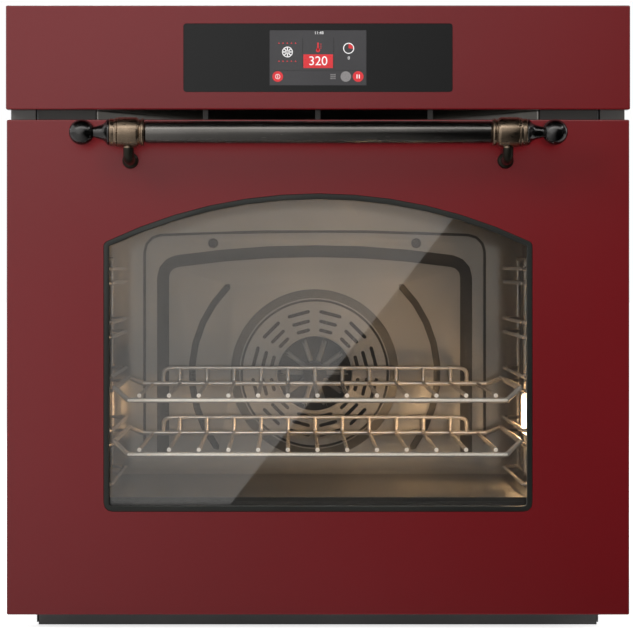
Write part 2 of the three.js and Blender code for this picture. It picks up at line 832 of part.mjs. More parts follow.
function ventOutlet() {
  const bottom = frameHead + fit;
  const outer = halfCasing - ventMargin;
  const outline = rectangle(-outer, outer, bottom, bottom + ventHeight);
  const cell = (ventWidth - dividerCount * dividerWidth) / (dividerCount + 1);
  const sill = bottom + (ventHeight - ventOpening) / 2;
  const holes = Array.from({ length: dividerCount + 1 }, (_, i) => {
    const left = -ventWidth / 2 + i * (cell + dividerWidth);
    return rectangle(left, left + cell, sill, sill + ventOpening);
  });
  const neck = halfCasing - hem - fit;
  const front = alongY(outline, 0, frameRear, holes);
  const neckOutline = rectangle(-neck, neck, bottom, bottom + ventHeight);
  const rear = alongY(neckOutline, frameRear - weld, ventDepth, holes);
  return front.add(rear);
}

function ductFloor() {
  const half = halfCasing - sheet - fit - sheet - fit;
  const hole = circle(0, steamDepth, steamRadius + fit, 12);
  const rear = casingDepth - sheet - fit - sheet - fit;
  return alongZ(rectangle(-half, half, ventDepth + fit, rear), ductFloorHeight, ductFloorTop, [hole]);
}

function ductCover() {
  const front = ventDepth + fit;
  const trapezoid = (margin, run) => {
    const frontHalf = ventWidth / 2 + sheet - margin;
    const rearHalf = wheelHalf + ductMouthLap + sheet - margin;
    return [[-rearHalf, ductRear + run], [-frontHalf, front - run], [frontHalf, front - run],
      [rearHalf, ductRear + run]];
  };
  const bottom = ductFloorTop + fit;
  const block = alongZ(trapezoid(0, 0), bottom, bottom + ductHeight);
  const passage = alongZ(trapezoid(sheet, overrun), bottom - overrun, bottom + ductHeight - sheet);
  return block.subtract(passage);
}

// Cooling blower: a cross-flow wheel in a scroll

function scrollPoint(share, grow) {
  const angle = scrollTurn - share * (scrollTurn + Math.PI / 2);
  const radius = scrollStart + (scrollEnd - scrollStart) * share + grow;
  return [blowerDepth + radius * Math.cos(angle), blowerHeight + radius * Math.sin(angle)];
}

function scrollOutline() {
  const shares = Array.from({ length: scrollSteps + 1 }, (_, i) => i / scrollSteps);
  const inner = shares.map((share) => scrollPoint(share, 0));
  const outer = shares.map((share) => scrollPoint(share, scrollSheet)).reverse();
  const lip = ductRear + fit;
  return [...inner, [lip, blowerHeight - scrollEnd], [lip, blowerHeight - scrollEnd - scrollSheet], ...outer];
}

function tongueOutline() {
  const bottom = ductFloorTop + fit + ductHeight;
  const lip = ductRear + fit;
  const reach = blowerDepth - wheelRadius - scrollSide;
  return [[lip, bottom - sheet], [reach, bottom - sheet], [reach, bottom + hem],
    [reach - scrollSheet, bottom + hem], [reach - scrollSheet, bottom], [lip, bottom]];
}

function sideOutline() {
  const shares = Array.from({ length: scrollSteps + 1 }, (_, i) => i / scrollSteps);
  const arcPoints = shares.map((share) => scrollPoint(share, scrollSheet));
  const lip = ductRear + fit;
  const bottom = ductFloorTop + fit + ductHeight;
  return [...arcPoints, [lip, blowerHeight - scrollEnd - scrollSheet],
    [lip, bottom], [blowerDepth - scrollStart, bottom + hem]];
}

function blowerHousing() {
  const inner = wheelHalf + scrollSide / 2;
  const outer = inner + scrollSheet;
  const sides = [-1, 1].map((side) => {
    const [left, right] = side < 0 ? [-outer, -inner] : [inner, outer];
    return alongX(sideOutline(), left, right, [circle(blowerDepth, blowerHeight, wheelShaft + fit, 12)]);
  });
  const walls = [scrollOutline(), tongueOutline()].map((outline) =>
    alongX(outline, -inner - weld, inner + weld));
  return joined([...sides, ...walls]);
}

function bladeOutline(index) {
  const turn = 2 * Math.PI * index / wheelBlades;
  const width = wheelRadius * wheelBladeShare;
  const inner = wheelRadius - width;
  const point = (radius, angle) => [
    blowerDepth + radius * Math.cos(turn + angle), blowerHeight + radius * Math.sin(turn + angle)];
  return [point(inner, 0), point(wheelRadius, bladeLean), point(wheelRadius, bladeLean + bladeTurn),
    point(inner, bladeTurn * bladeRootShare)];
}

function blowerWheel() {
  const disc = (x) => pinAlongX(wheelRadius + fit, x - wheelDisc / 2, x + wheelDisc / 2, blowerDepth,
    blowerHeight, wheelBlades);
  const reach = wheelHalf - wheelDisc;
  const discs = [-1, 1].map((side) => disc(side * reach));
  const blades = Array.from({ length: wheelBlades }, (_, i) => alongX(bladeOutline(i), -reach, reach));
  const shaft = pinAlongX(wheelShaft, -wheelHalf - wheelShaftRun, wheelHalf + wheelShaftRun, blowerDepth,
    blowerHeight, 12);
  return joined([...discs, ...blades, shaft]);
}

function blowerMotor() {
  const left = wheelHalf + scrollSide / 2 + scrollSheet + fit;
  const right = left + blowerMotorLength;
  const profile = [[0, left], [blowerMotorRadius / 2, left], [blowerMotorRadius / 2, left + scrollSide],
    [blowerMotorRadius, left + scrollSide], [blowerMotorRadius, right], [0, right]];
  const body = turnedAlongX(profile, 16, blowerDepth, blowerHeight);
  const foot = box(left + scrollSide * 2, right - scrollSide, blowerDepth - blowerFoot,
    blowerDepth + blowerFoot, ductFloorTop + fit, blowerHeight - blowerMotorRadius / 2);
  const bore = pinAlongX(wheelShaft + fit, left - overrun, left + wheelShaftRun, blowerDepth,
    blowerHeight, 12);
  return body.add(foot).subtract(bore);
}

// Electronics and mains inlet

function powerBoard() {
  const [left, front] = powerBoardPlace;
  const [width, depth] = powerBoardSize;
  const bottom = ductFloorTop + fit + standoff;
  const top = bottom + boardThickness;
  const board = box(left, left + width, front, front + depth, bottom, top);
  const posts = [[standoff, standoff], [width - standoff, standoff], [standoff, depth - standoff],
    [width - standoff, depth - standoff]].map(([x, y]) =>
    pinAlongZ(postRadius, ductFloorTop + fit, bottom + weld, left + x, front + y));
  const relays = Array.from({ length: relayCount }, (_, i) => {
    const start = front + standoff + i * relayPitch;
    return box(left + standoff * 2, left + standoff * 2 + relaySize[0], start, start + relaySize[1],
      top - weld, top + relaySize[2]);
  });
  const caps = [1, 2, 3].map((i) =>
    pinAlongZ(capRadius, top - weld, top + capHeight, left + width - capRadius * 2, front + i * capPitch));
  const transformer = box(left + width / 2 - capRadius, left + width / 2 + capRadius, front + depth / 2,
    front + depth / 2 + transformerLength, top - weld, top + capHeight);
  return joined([board, ...posts, ...relays, ...caps, transformer]);
}

function terminalBox() {
  const [left, front] = terminalPlace;
  const [width, depth, height] = terminalSize;
  const bottom = ductFloorTop + fit;
  const rear = front + depth;
  const block = box(left, left + width, front, rear, bottom, bottom + height);
  const room = box(left + terminalWall, left + width - terminalWall, front + terminalWall,
    rear - terminalWall, bottom + terminalWall, bottom + height + overrun);
  const gland = pinAlongY(glandRadius, rear - terminalWall - overrun, rear + overrun, left + width / 2,
    bottom + height / 2);
  const ribs = Array.from({ length: ribCount }, (_, i) => {
    const x = left + width * (i + 1) / (ribCount + 1);
    return box(x - terminalWall / 2, x + terminalWall / 2, front + terminalWall - weld, front + depth / 2,
      bottom + terminalWall - weld, bottom + height / 2);
  });
  return joined([cut(block, [room, gland]), ...ribs]);
}

// Oven cavity

function cavityShell() {
  const outer = roundRectangle(-halfCavity - cavityWall, halfCavity + cavityWall, cavityFloor - cavityWall,
    cavityRoof + cavityWall, cavityCorner + cavityWall);
  const inner = roundRectangle(-halfCavity, halfCavity, cavityFloor, cavityRoof, cavityCorner);
  const tunnel = alongY(outer, frameRear + fit, tunnelRear, [inner]);
  const lampHole = box(halfCavity - overrun, halfCavity + overrun, lampStart + lampHolderInset,
    lampStart + lampLength - lampHolderInset, cavityFloor + lampRise + lampHolderInset,
    cavityFloor + lampRise + lampHeight - lampHolderInset);
  const steamHole = pinAlongZ(steamRadius + fit, cavityRoof - overrun, cavityRoof + overrun, 0, steamDepth,
    12);
  return cut(tunnel, [lampHole, steamHole]);
}

// A closed solid through rings of equal point counts, capped at both ends
function loft(rings) {
  const count = rings[0].length;
  const positions = rings.flat().flatMap(([x, depth, z]) => [x, mountY + depth, z]);
  const indices = [];
  for (let r = 0; r < rings.length - 1; r += 1) {
    for (let i = 0; i < count; i += 1) {
      const [a, b] = [r * count + i, r * count + (i + 1) % count];
      indices.push(a, b, b + count, a, b + count, a + count);
    }
  }
  const last = (rings.length - 1) * count;
  for (let i = 1; i < count - 1; i += 1) indices.push(0, i + 1, i, last, last + i, last + i + 1);
  const geometry = new THREE.BufferGeometry();
  geometry.setAttribute('position', new THREE.BufferAttribute(new Float32Array(positions), 3));
  geometry.setIndex(indices);
  return solidOf(geometry);
}

// The rear wall's pan: its rounded rim turns forward to meet the tunnel
function panSolid(rim, thickness, mouth) {
  const steps = 3;
  const rings = Array.from({ length: steps + 1 }, (_, i) => {
    const angle = i / steps * Math.PI / 2;
    const [insetX, insetZ] = [rearCorner, rearFoot].map((radius) => radius * (1 - Math.cos(angle)) - rim);
    const depth = tunnelRear + fit + (rearCorner - fit + thickness) * Math.sin(angle);
    return roundRectangle(insetX - halfCavity, halfCavity - insetX, cavityFloor + insetZ, cavityRoof - insetZ,
      cavityCorner).map(([x, z]) => [x, depth, z]);
  });
  const start = rings[0].map(([x, , z]) => [x, mouth, z]);
  return loft(mouth < tunnelRear + fit ? [start, ...rings] : rings);
}

function grooveOutlines() {
  const foot = cavityFloor + grooveFoot;
  const edge = grooveDepth / 2;
  const ring = (inset, drop, arch, corner, width) => {
    const [half, top] = [halfCavity - inset, cavityRoof - drop];
    const outer = archOutline(half, foot - width, top, arch, edge, corner, grooveSteps);
    const inner = archOutline(half - width, foot - 2 * width, top - width, arch - width, edge,
      corner - width, grooveSteps);
    return alongY(outer, cavityDepth - overrun, cavityDepth + grooveDepth)
      .subtract(alongY(inner, cavityDepth - 2 * overrun, cavityDepth + overrun));
  };
  return [
    ring(outlineInset, outlineDrop, outlineArch, outlineCorner, outlineWidth),
    ring(panelGrooveInset, panelGrooveDrop, panelGrooveArch, panelGrooveCorner, panelGrooveWidth),
  ];
}

function arcGroove(side) {
  const start = arcStartDegrees * Math.PI / 180;
  const end = arcEndDegrees * Math.PI / 180;
  const half = arcWidth / 2;
  const arcRadius = coverRadius + arcGap;
  const steps = 8;
  const capAt = (angle, from) => arc(side * arcRadius * Math.cos(angle),
    fanHeight + arcRadius * Math.sin(angle), half, from, from + side * Math.PI, 2).slice(1, -1);
  const face = (radius, a, b) => arc(0, fanHeight, radius, a, b, steps).map(([x, z]) => [side * x, z]);
  const outerAngle = (angle) => side > 0 ? angle : Math.PI - angle;
  const outline = [...face(arcRadius + half, start, end), ...capAt(end, outerAngle(end)),
    ...face(arcRadius - half, end, start), ...capAt(start, outerAngle(start) + Math.PI)];
  return alongY(outline, cavityDepth - overrun, cavityDepth + grooveDepth);
}

function cavityBack() {
  const pan = panSolid(cavityWall, rearWall, tunnelRear + fit).subtract(panSolid(0, 0, tunnelRear - overrun));
  const well = pinAlongY(wellRadius, cavityDepth - overrun, cavityDepth + 2 * overrun, 0, fanHeight,
    fanSteps);
  const leg = (x, z, radius) => pinAlongY(radius + fit, cavityDepth - overrun, cavityDepth + 2 * overrun,
    x, z, 10);
  const plugs = [-1, 1].map((side) => leg(side * plugSpread, cavityRoof - plugDrop, plugHole));
  const grill = [-1, 1].map((side) => leg(side * grillLeg, cavityRoof - grillDrop, elementRadius));
  const sensor = leg(sensorPlace, cavityRoof - sensorDrop, sensorRadius);
  return cut(pan, [well, ...plugs, ...grill, sensor, ...grooveOutlines(), arcGroove(1), arcGroove(-1)]);
}

function doorSeal() {
  const grow = (margin) => roundRectangle(-halfCavity - margin, halfCavity + margin, cavityFloor - margin,
    cavityRoof + margin, cavityCorner + margin);
  const front = paneFace + fit;
  const base = alongY(grow(sealOffset + sealWidth), (front + frameDepth) / 2, frameDepth, [grow(sealOffset)]);
  const lip = alongY(grow(sealOffset + sealWidth * lipShares[0]), front, frameDepth - weld,
    [grow(sealOffset + sealWidth * lipShares[1])]);
  return base.add(lip);
}

function insulation() {
  const hole = roundRectangle(-halfCavity - cavityWall - woolGap, halfCavity + cavityWall + woolGap,
    cavityFloor - cavityWall - fit - 2 * elementRadius - fit, cavityRoof + cavityWall + woolGap,
    cavityCorner + cavityWall + woolGap);
  const half = halfCavity + woolSide;
  const outer = roundRectangle(-half, half, cavityFloor - woolBottom, cavityRoof + woolTop, cavityCorner);
  const wrap = alongY(outer, ventDepth, woolRear, [hole]);
  const slab = alongY(roundRectangle(-half + weld, half - weld, cavityFloor - woolBottom + weld,
    cavityRoof + woolTop - weld, cavityCorner), cavityDepth + rearWall + fit, woolRear);
  const well = pinAlongY(wellRadius + wellFlange + fit, cavityDepth, woolRear + overrun, 0, fanHeight,
    fanSteps);
  const lamp = box(halfCavity, halfCavity + lampHolderDepth + fit, lampStart, lampStart + lampLength,
    cavityFloor + lampRise, cavityFloor + lampRise + lampHeight);
  const steam = pinAlongZ(steamRadius + fit, cavityRoof, cavityRoof + woolTop + overrun, 0, steamDepth, 12);
  const legs = [[grillLeg, cavityRoof - grillDrop], [-grillLeg, cavityRoof - grillDrop],
    [bottomLeg, bottomElementHeight()], [-bottomLeg, bottomElementHeight()]].map(([x, z]) =>
    pinAlongY(elementRadius + fit, cavityDepth, woolRear + overrun, x, z, 8));
  const sensor = pinAlongY(sensorRadius + fit, cavityDepth, woolRear + overrun, sensorPlace,
    cavityRoof - sensorDrop, 12);
  return cut(wrap.add(slab), [well, lamp, steam, ...legs, sensor]);
}

function steamOutlet() {
  const bottom = cavityRoof + cavityWall / 2;
  const top = frameHead;
  const profile = [[steamRadius - steamWall, bottom], [steamRadius, bottom], [steamRadius, top],
    [steamRadius - steamWall, top], [steamRadius - steamWall, bottom]];
  return turnedAlongZ(profile, 12, 0, steamDepth);
}

// Convection fan and heating elements

function fanWell() {
  const front = cavityDepth + rearWall + fit;
  const rear = front + wellDepth;
  const bore = shaftRadius + 2 * fit;
  const profile = [[wellRadius, front], [wellRadius + wellFlange, front],
    [wellRadius + wellFlange, front + wellWall], [wellRadius + wellWall, front + wellWall],
    [wellRadius + wellWall, rear], [bore, rear],
    [bore, rear - wellWall], [wellRadius, rear - wellWall], [wellRadius, front]];
  const cup = turnedAlongY(profile, fanSteps, 0, fanHeight);
  const legs = ringLegs().map(([x, z]) => pinAlongY(elementRadius + fit, front, rear + overrun, x, z, 8));
  return cut(cup, legs);
}

function ringLegs() {
  return [-1, 1].map((side) => {
    const angle = Math.PI / 2 + side * ringLegDegrees * Math.PI / 180;
    return [ringRadius * Math.cos(angle), fanHeight + ringRadius * Math.sin(angle)];
  });
}

function ringElement() {
  const depth = cavityDepth + rearWall + wellDepth / 2;
  const torus = new THREE.TorusGeometry(ringRadius, elementRadius, 5, fanSteps);
  torus.rotateX(Math.PI / 2);
  torus.translate(0, mountY + depth, fanHeight);
  const legs = ringLegs().map(([x, z]) => rod([[x, depth, z], [x, terminalDepth, z]], elementRadius, 0, 6));
  return joined([solidOf(torus), ...legs]);
}

function fanCover() {
  const rear = cavityDepth - fit;
  const front = rear - coverThickness;
  const slots = Array.from({ length: sectorCount }, (_, i) => {
    const angle = 2 * Math.PI * (i + 0.5) / sectorCount;
    return slotRadiusShares.map((share, k) => {
      const radius = coverBead * share;
      return slotOutline(radius * Math.cos(angle), fanHeight + radius * Math.sin(angle),
        coverBead * slotLengthShares[k], slotWidth, angle + Math.PI / 2);
    });
  }).flat();
  const disc = alongY(circle(0, fanHeight, coverRadius, 32), front, rear,
    [circle(0, fanHeight, coverEye, 20), ...slots]);
  const bead = alongY(circle(0, fanHeight, coverBead + coverBeadWidth / 2, 24), front - coverBeadHeight,
    front + weld, [circle(0, fanHeight, coverBead - coverBeadWidth / 2, 24)]);
  return disc.add(bead);
}

function fanImpeller() {
  const rear = cavityDepth + rearWall + wellDepth - wellWall - impellerClear;
  const front = rear - impellerDepth;
  const bore = shaftRadius + fit;
  const profile = [[bore, front], [impellerHub, front], [impellerHub, rear - impellerDisc],
    [impellerRadius, rear - impellerDisc], [impellerRadius, rear], [bore, rear], [bore, front]];
  const disc = turnedAlongY(profile, fanSteps, 0, fanHeight);
  const blades = Array.from({ length: bladeCount }, (_, i) => {
    const angle = 2 * Math.PI * i / bladeCount;
    const [c, s] = [Math.cos(angle), Math.sin(angle)];
    const lean = bladeSheet * 3;
    const corner = (u, v) => [u * c - v * s, fanHeight + u * s + v * c];
    return alongY([corner(bladeInner, 0), corner(impellerRadius, lean),
      corner(impellerRadius, lean + bladeSheet), corner(bladeInner, bladeSheet)], front,
    rear - impellerDisc / 2);
  });
  return joined([disc, ...blades]);
}

function fanShaft() {
  const rear = cavityDepth + rearWall + fit + wellDepth + fit + motorBossLength + motorLength / 2;
  return pinAlongY(shaftRadius, impellerFront() - nutLength - fit - sheet, rear, 0, fanHeight);
}

function impellerFront() {
  return cavityDepth + rearWall + wellDepth - wellWall - impellerClear - impellerDepth;
}

function fanNut() {
  const rear = impellerFront() - fit;
  return alongY(circle(0, fanHeight, nutRadius, 6), rear - nutLength, rear,
    [circle(0, fanHeight, shaftRadius + fit, 12)]);
}

function fanMotor() {
  const front = cavityDepth + rearWall + fit + wellDepth + fit;
  const shoulder = front + motorBossLength;
  const profile = [[0, front], [motorBoss, front], [motorBoss, shoulder], [motorRadius, shoulder],
    [motorRadius, shoulder + motorLength], [0, shoulder + motorLength]];
  const body = turnedAlongY(profile, fanSteps, 0, fanHeight);
  const foot = alongY(roundRectangle(-motorFoot, motorFoot, fanHeight - motorFootHeight / 2,
    fanHeight + motorFootHeight / 2, motorFootHeight / 4), front, front + motorFootSheet);
  const bore = pinAlongY(shaftRadius + fit, front - overrun, shoulder + motorLength / 2 + fit, 0, fanHeight);
  return body.add(foot).subtract(bore);
}

function grillElement() {
  const z = cavityRoof - grillDrop;
  const lanes = grillLaneShares.map((share) => grillHalf * share);
  const [rearRun, turn] = [cavityDepth - grillRearGap, cavityDepth - grillTurnGap];
  const half = [[grillLeg, terminalDepth], [grillLeg, rearRun], [lanes[0], rearRun],
    [lanes[0], grillFront], [lanes[1], grillFront], [lanes[1], turn], [lanes[2], turn],
    [lanes[2], grillFront]];
  const other = half.map(([x, depth]) => [-x, depth]).reverse();
  return rod([...half, ...other].map(([x, depth]) => [x, depth, z]), elementRadius, elementBend, 6, 1);
}

function bottomElementHeight() {
  return cavityFloor - cavityWall - fit - elementRadius;
}

function bottomElement() {
  const rearRun = cavityDepth - bottomRearGap;
  const half = [[bottomLeg, terminalDepth], [bottomLeg, rearRun], [bottomHalf, rearRun],
    [bottomHalf, bottomFront]];
  const other = half.map(([x, depth]) => [-x, depth]).reverse();
  const z = bottomElementHeight();
  return rod([...half, ...other].map(([x, depth]) => [x, depth, z]), elementRadius, elementBend, 6, 1);
}

function temperatureSensor() {
  const z = cavityRoof - sensorDrop;
  const front = cavityDepth - sensorReach;
  const profile = [[0, front], [sensorRadius * sensorTipShare, front], [sensorRadius, front + sensorRadius],
    [sensorRadius, terminalDepth], [0, terminalDepth]];
  return turnedAlongY(profile, 12, sensorPlace, z);
}

// Lamp

function lampBlock(margin, inset) {
  const [front, rear] = [lampStart + margin, lampStart + lampLength - margin];
  const [bottom, top] = [cavityFloor + lampRise + margin, cavityFloor + lampRise + lampHeight - margin];
  const ring = (x, taper) => roundRectangle(front + taper, rear - taper, bottom + taper, top - taper,
    lampTaper + lampWall - margin / 2).map(([depth, z]) => [x, depth, z]);
  const wall = halfCavity - fit;
  return loft([ring(wall + (margin > 0 ? overrun : 0), 0), ring(wall - lampProud + inset + lampTaper / 2, 0),
    ring(wall - lampProud + inset, lampTaper)]);
}

function lampCover() {
  return lampBlock(0, 0).subtract(lampBlock(lampWall, lampWall));
}

function lampHolder() {
  const left = halfCavity + cavityWall + fit;
  const inset = lampHolderInset;
  const middle = lampStart + lampLength / 2;
  const z = cavityFloor + lampRise + lampHeight / 2;
  const [wide, high] = socketShares;
  const bottom = cavityFloor + lampRise;
  const cup = box(left, halfCavity + lampHolderDepth, lampStart + inset / 2,
    lampStart + lampLength - inset / 2, bottom + inset / 2, bottom + lampHeight - inset / 2);
  const room = box(left - overrun, halfCavity + lampHolderDepth - lampWall, lampStart + inset,
    lampStart + lampLength - inset, bottom + inset, bottom + lampHeight - inset);
  const socket = box(left + lampHolderDepth / 2, halfCavity + lampHolderDepth - lampWall + weld,
    middle - bulbRadius * wide, middle + bulbRadius * wide, z - bulbRadius * high, z + bulbRadius * high);
  const bulb = pinAlongX(bulbRadius, left + lampHolderDepth / 2 - bulbLength / 2,
    left + lampHolderDepth / 2 + weld, middle, z, 12);
  return joined([cup.subtract(room), socket, bulb]);
}

// Wire ladders and shelves

function carryingHeight(level) {
  return cavityFloor + levelRise + level * levelPitch;
}

function ladder() {
  const x = halfCavity - ladderInset;
  const postX = halfCavity - ladderPostInset;
  const rung = (z) => rod([[postX, ladderFront, z], [x, ladderFront + ladderFlare, z],
    [x, ladderRear - ladderFlare, z], [postX, ladderRear, z]], ladderRod);
  const rungs = [];
  for (let level = -levelsBelow; level <= levelsAbove; level += 1) {
    rungs.push(rung(carryingHeight(level)), rung(carryingHeight(level) + levelGap));
  }
  const lowest = carryingHeight(-levelsBelow - 1) + levelGap;
  rungs.push(rung(lowest));
  const top = carryingHeight(levelsAbove) + levelGap + ladderHead;
  const frame = [
    ...[ladderFront, ladderMiddle, ladderRear].map((depth) =>
      rod([[postX, depth, lowest - ladderFoot], [postX, depth, top]], railRadius)),
    ...[lowest, top - weld].map((z) => rod([[postX, ladderFront, z], [postX, ladderRear, z]], ladderRod)),
  ];
  const pegs = [ladderFront, ladderRear].flatMap((depth) =>
    [carryingHeight(-levelsBelow), top - weld].map((z) =>
      pinAlongX(pegRadius, postX - railRadius, halfCavity - fit, depth, z, 6)));
  return joined([...rungs, ...frame, ...pegs]);
}

function shelf(level) {
  const railZ = carryingHeight(level) + (ladderRod + railRadius) * wireFlatShare + railPlay;
  const barZ = railZ - shelfDropFront;
  const rodZ = barZ + railRadius + shelfRod - wireWeld;
  const cornerX = railX - shelfCorner;
  const half = (side) => rod([[-side * weld / 2, shelfFront, barZ], [side * cornerX, shelfFront, barZ],
    [side * railX, shelfFront + shelfCorner, railZ], [side * railX, shelfRear - shelfCorner, railZ],
    [side * cornerX, shelfRear, barZ], [-side * weld / 2, shelfRear, barZ]], railRadius, backBarBend);
  const backZ = railZ + backBarRise;
  const backBar = rod([[-backBarHalf, shelfRear, barZ], [-backBarHalf, shelfRear, backZ],
    [backBarHalf, shelfRear, backZ], [backBarHalf, shelfRear, barZ]], shelfRod, backBarBend);
  const rods = Array.from({ length: shelfRods }, (_, i) => {
    const x = (i - (shelfRods - 1) / 2) * shelfPitch;
    const front = shelfFront - railRadius;
    const turn = shelfRear + railRadius + shelfRod - wireWeld;
    if (Math.abs(x) > backBarHalf) return rod([[x, front, rodZ], [x, turn, rodZ]], shelfRod);
    return rod([[x, front, rodZ], [x, turn, rodZ], [x, turn, backZ]], shelfRod);
  });
  return joined([half(1), half(-1), backBar, ...rods]);
}

// Door

function doorPanel() {
  const half = doorWidth / 2;
  const outline = roundRectangle(-half, half, doorBottom, doorTop, faceEdge, 2);
  const room = rectangle(shellWall - half, half - shellWall, doorBottom + shellWall, doorTop - shellWall);
  return cut(softPlate(outline, frontFace, shellRear, faceEdge), [
    alongY(room, faceRear, shellRear + overrun),
    alongY(windowOutline(fit), frontFace - overrun, faceRear + overrun),
  ]);
}

function windowTrim() {
  const rear = faceRear + fit + rimSheet;
  const rim = alongY(windowOutline(0), frontFace - rimProud, rear, [windowOutline(-rimWidth)]);
  const lip = alongY(windowOutline(rimFlange), faceRear + fit, rear, [windowOutline(-rimWidth / 2)]);
  return rim.add(lip);
}

function outerPaneFront() {
  return faceRear + fit + rimSheet + fit;
}

function outerGlass() {
  return alongY(windowOutline(outerPaneLap), outerPaneFront(), outerPaneFront() + paneThickness);
}

function middleGlass() {
  const outline = roundRectangle(-middlePaneWidth / 2, middlePaneWidth / 2, doorBottom + middlePaneMargin,
    doorTop - middlePaneMargin, paneThickness, 2);
  return alongY(outline, middlePaneDepth, middlePaneDepth + paneThickness);
}

function innerGlass() {
  const outline = roundRectangle(-innerPaneWidth / 2, innerPaneWidth / 2, innerPaneBottom, innerPaneTop,
    paneThickness, 2);
  return alongY(outline, innerPaneFront, paneFace);
}

// A strip that grips the middle pane's edge and stands between the outer and the inner pane
function paneHolder() {
  const edge = middlePaneWidth / 2;
  const inner = edge - holderGrip;
  const rear = innerPaneFront - fit;
  const front = rear - holderDepth;
  const section = [[inner, front], [inner + holderWidth, front], [inner + holderWidth, rear], [inner, rear],
    [inner, middlePaneDepth + paneThickness + fit], [edge + fit, middlePaneDepth + paneThickness + fit],
    [edge + fit, middlePaneDepth - fit], [inner, middlePaneDepth - fit]];
  return alongZ(section, doorBottom + middlePaneMargin, doorTop - middlePaneMargin);
}

function doorSideChannel() {
  const outer = hingeX + channelWidth / 2;
  const inner = hingeX - channelWidth / 2;
  const front = faceRear + fit;
  const rear = front + channelDepth;
  const section = [[inner, front], [outer, front], [outer, rear], [outer - channelLip, rear],
    [outer - channelLip, rear - channelSheet], [outer - channelSheet, rear - channelSheet],
    [outer - channelSheet, front + channelSheet], [inner, front + channelSheet]];
  return alongZ(section, doorBottom + channelStart, innerPaneTop - crossProfileHeight + weld);
}

function crossSection(bottom, top) {
  const front = faceRear + fit;
  const rear = innerPaneFront - fit;
  return [[front, bottom], [rear, bottom], [rear, top], [rear - channelSheet, top],
    [rear - channelSheet, bottom + channelSheet], [front + channelSheet, bottom + channelSheet],
    [front + channelSheet, top], [front, top]];
}

function doorTopProfile() {
  const half = hingeX + channelWidth / 2;
  const section = crossSection(innerPaneTop - crossProfileHeight, innerPaneTop);
  const slots = Array.from({ length: louvreCount }, (_, i) => {
    const x = (i - (louvreCount - 1) / 2) * doorSlotPitch;
    const middle = (faceRear + innerPaneFront) / 2;
    return alongZ(slotOutline(x, middle, louvreLength, louvreWidth),
      innerPaneTop - crossProfileHeight - overrun, innerPaneTop - crossProfileHeight + overrun);
  });
  return cut(alongX(section, -half, half), slots);
}

// Two side channels welded to the slotted top profile
function doorFrame() {
  const channel = doorSideChannel();
  return joined([doorTopProfile(), channel, mirrored(channel)]);
}

function doorBottomProfile() {
  const half = innerPaneWidth / 2 - fit;
  return alongX(crossSection(innerPaneBottom, innerPaneBottom + crossProfileHeight), -half, half);
}

// Hinges

function hingeArm() {
  const front = faceRear + fit + channelSheet + fit;
  const top = hingeHeight + armHeight;
  const eye = arc(hingeDepth, hingeHeight, cheekRadius, Math.PI, 2 * Math.PI, 6);
  const rear = front + armDepth;
  const cheek = [...eye, [rear, hingeHeight + cheekRadius], [rear, top], [front, top],
    [front, hingeHeight + cheekRadius * 2]];
  const hole = circle(hingeDepth, hingeHeight, pinRadius + fit, 12);
  const near = hingeX - cheekGap / 2;
  const far = hingeX + cheekGap / 2;
  const cheeks = [[near - cheekSheet, near], [far, far + cheekSheet]].map(([left, right]) =>
    alongX(cheek, left, right, [hole]));
  const web = box(near - weld, far + weld, front, front + cheekSheet, hingeHeight + cheekRadius * 3, top);
  return joined([...cheeks, web]);
}

function hingeHook() {
  const half = hookThickness / 2;
  const nose = arc(hingeDepth, hingeHeight, hookHeight / 2, Math.PI / 2, 3 * Math.PI / 2, 8);
  const end = hingeDepth + hookReach;
  const tooth = hookHeight / 3;
  const outline = [...nose, [end, hingeHeight - hookHeight / 2], [end, hingeHeight + hookHeight / 2 - tooth],
    [end - hookHeight, hingeHeight + hookHeight / 2]];
  const plate = alongX(outline, hingeX - half, hingeX + half);
  const reach = cheekGap / 2 + cheekSheet;
  return plate.add(pinAlongX(pinRadius, hingeX - reach, hingeX + reach, hingeDepth, hingeHeight));
}

function hingeReceiver() {
  const front = frameRear - weld;
  const half = receiverWidth / 2;
  const bottom = hingeHeight - receiverHeight / 3;
  const outer = box(hingeX - half, hingeX + half, front, front + receiverLength, bottom,
    bottom + receiverHeight);
  const room = box(hingeX - half + receiverWall, hingeX + half - receiverWall, front - overrun,
    front + receiverLength - receiverWall, bottom + receiverWall, bottom + receiverHeight - receiverWall);
  const boltHeight = hingeHeight - hookHeight / 2 - fit - receiverBolt;
  const bolt = pinAlongX(receiverBolt, hingeX - half + receiverWall / 2, hingeX + half - receiverWall / 2,
    hingeDepth + boltBehindPin, boltHeight);
  return outer.subtract(room).add(bolt);
}

// Handle

const handleDepth = frontFace - handleProud;
const handleHeight = doorTop - handleDrop;

function handleBar() {
  const tip = barRadius - spigotRadius / 2;
  const profile = [[0, -barHalf], [tip, -barHalf], [barRadius, -barHalf + tip / 4],
    [barRadius, barHalf - tip / 4], [tip, barHalf], [0, barHalf]];
  return turnedAlongX(profile, 20, handleDepth, handleHeight);
}

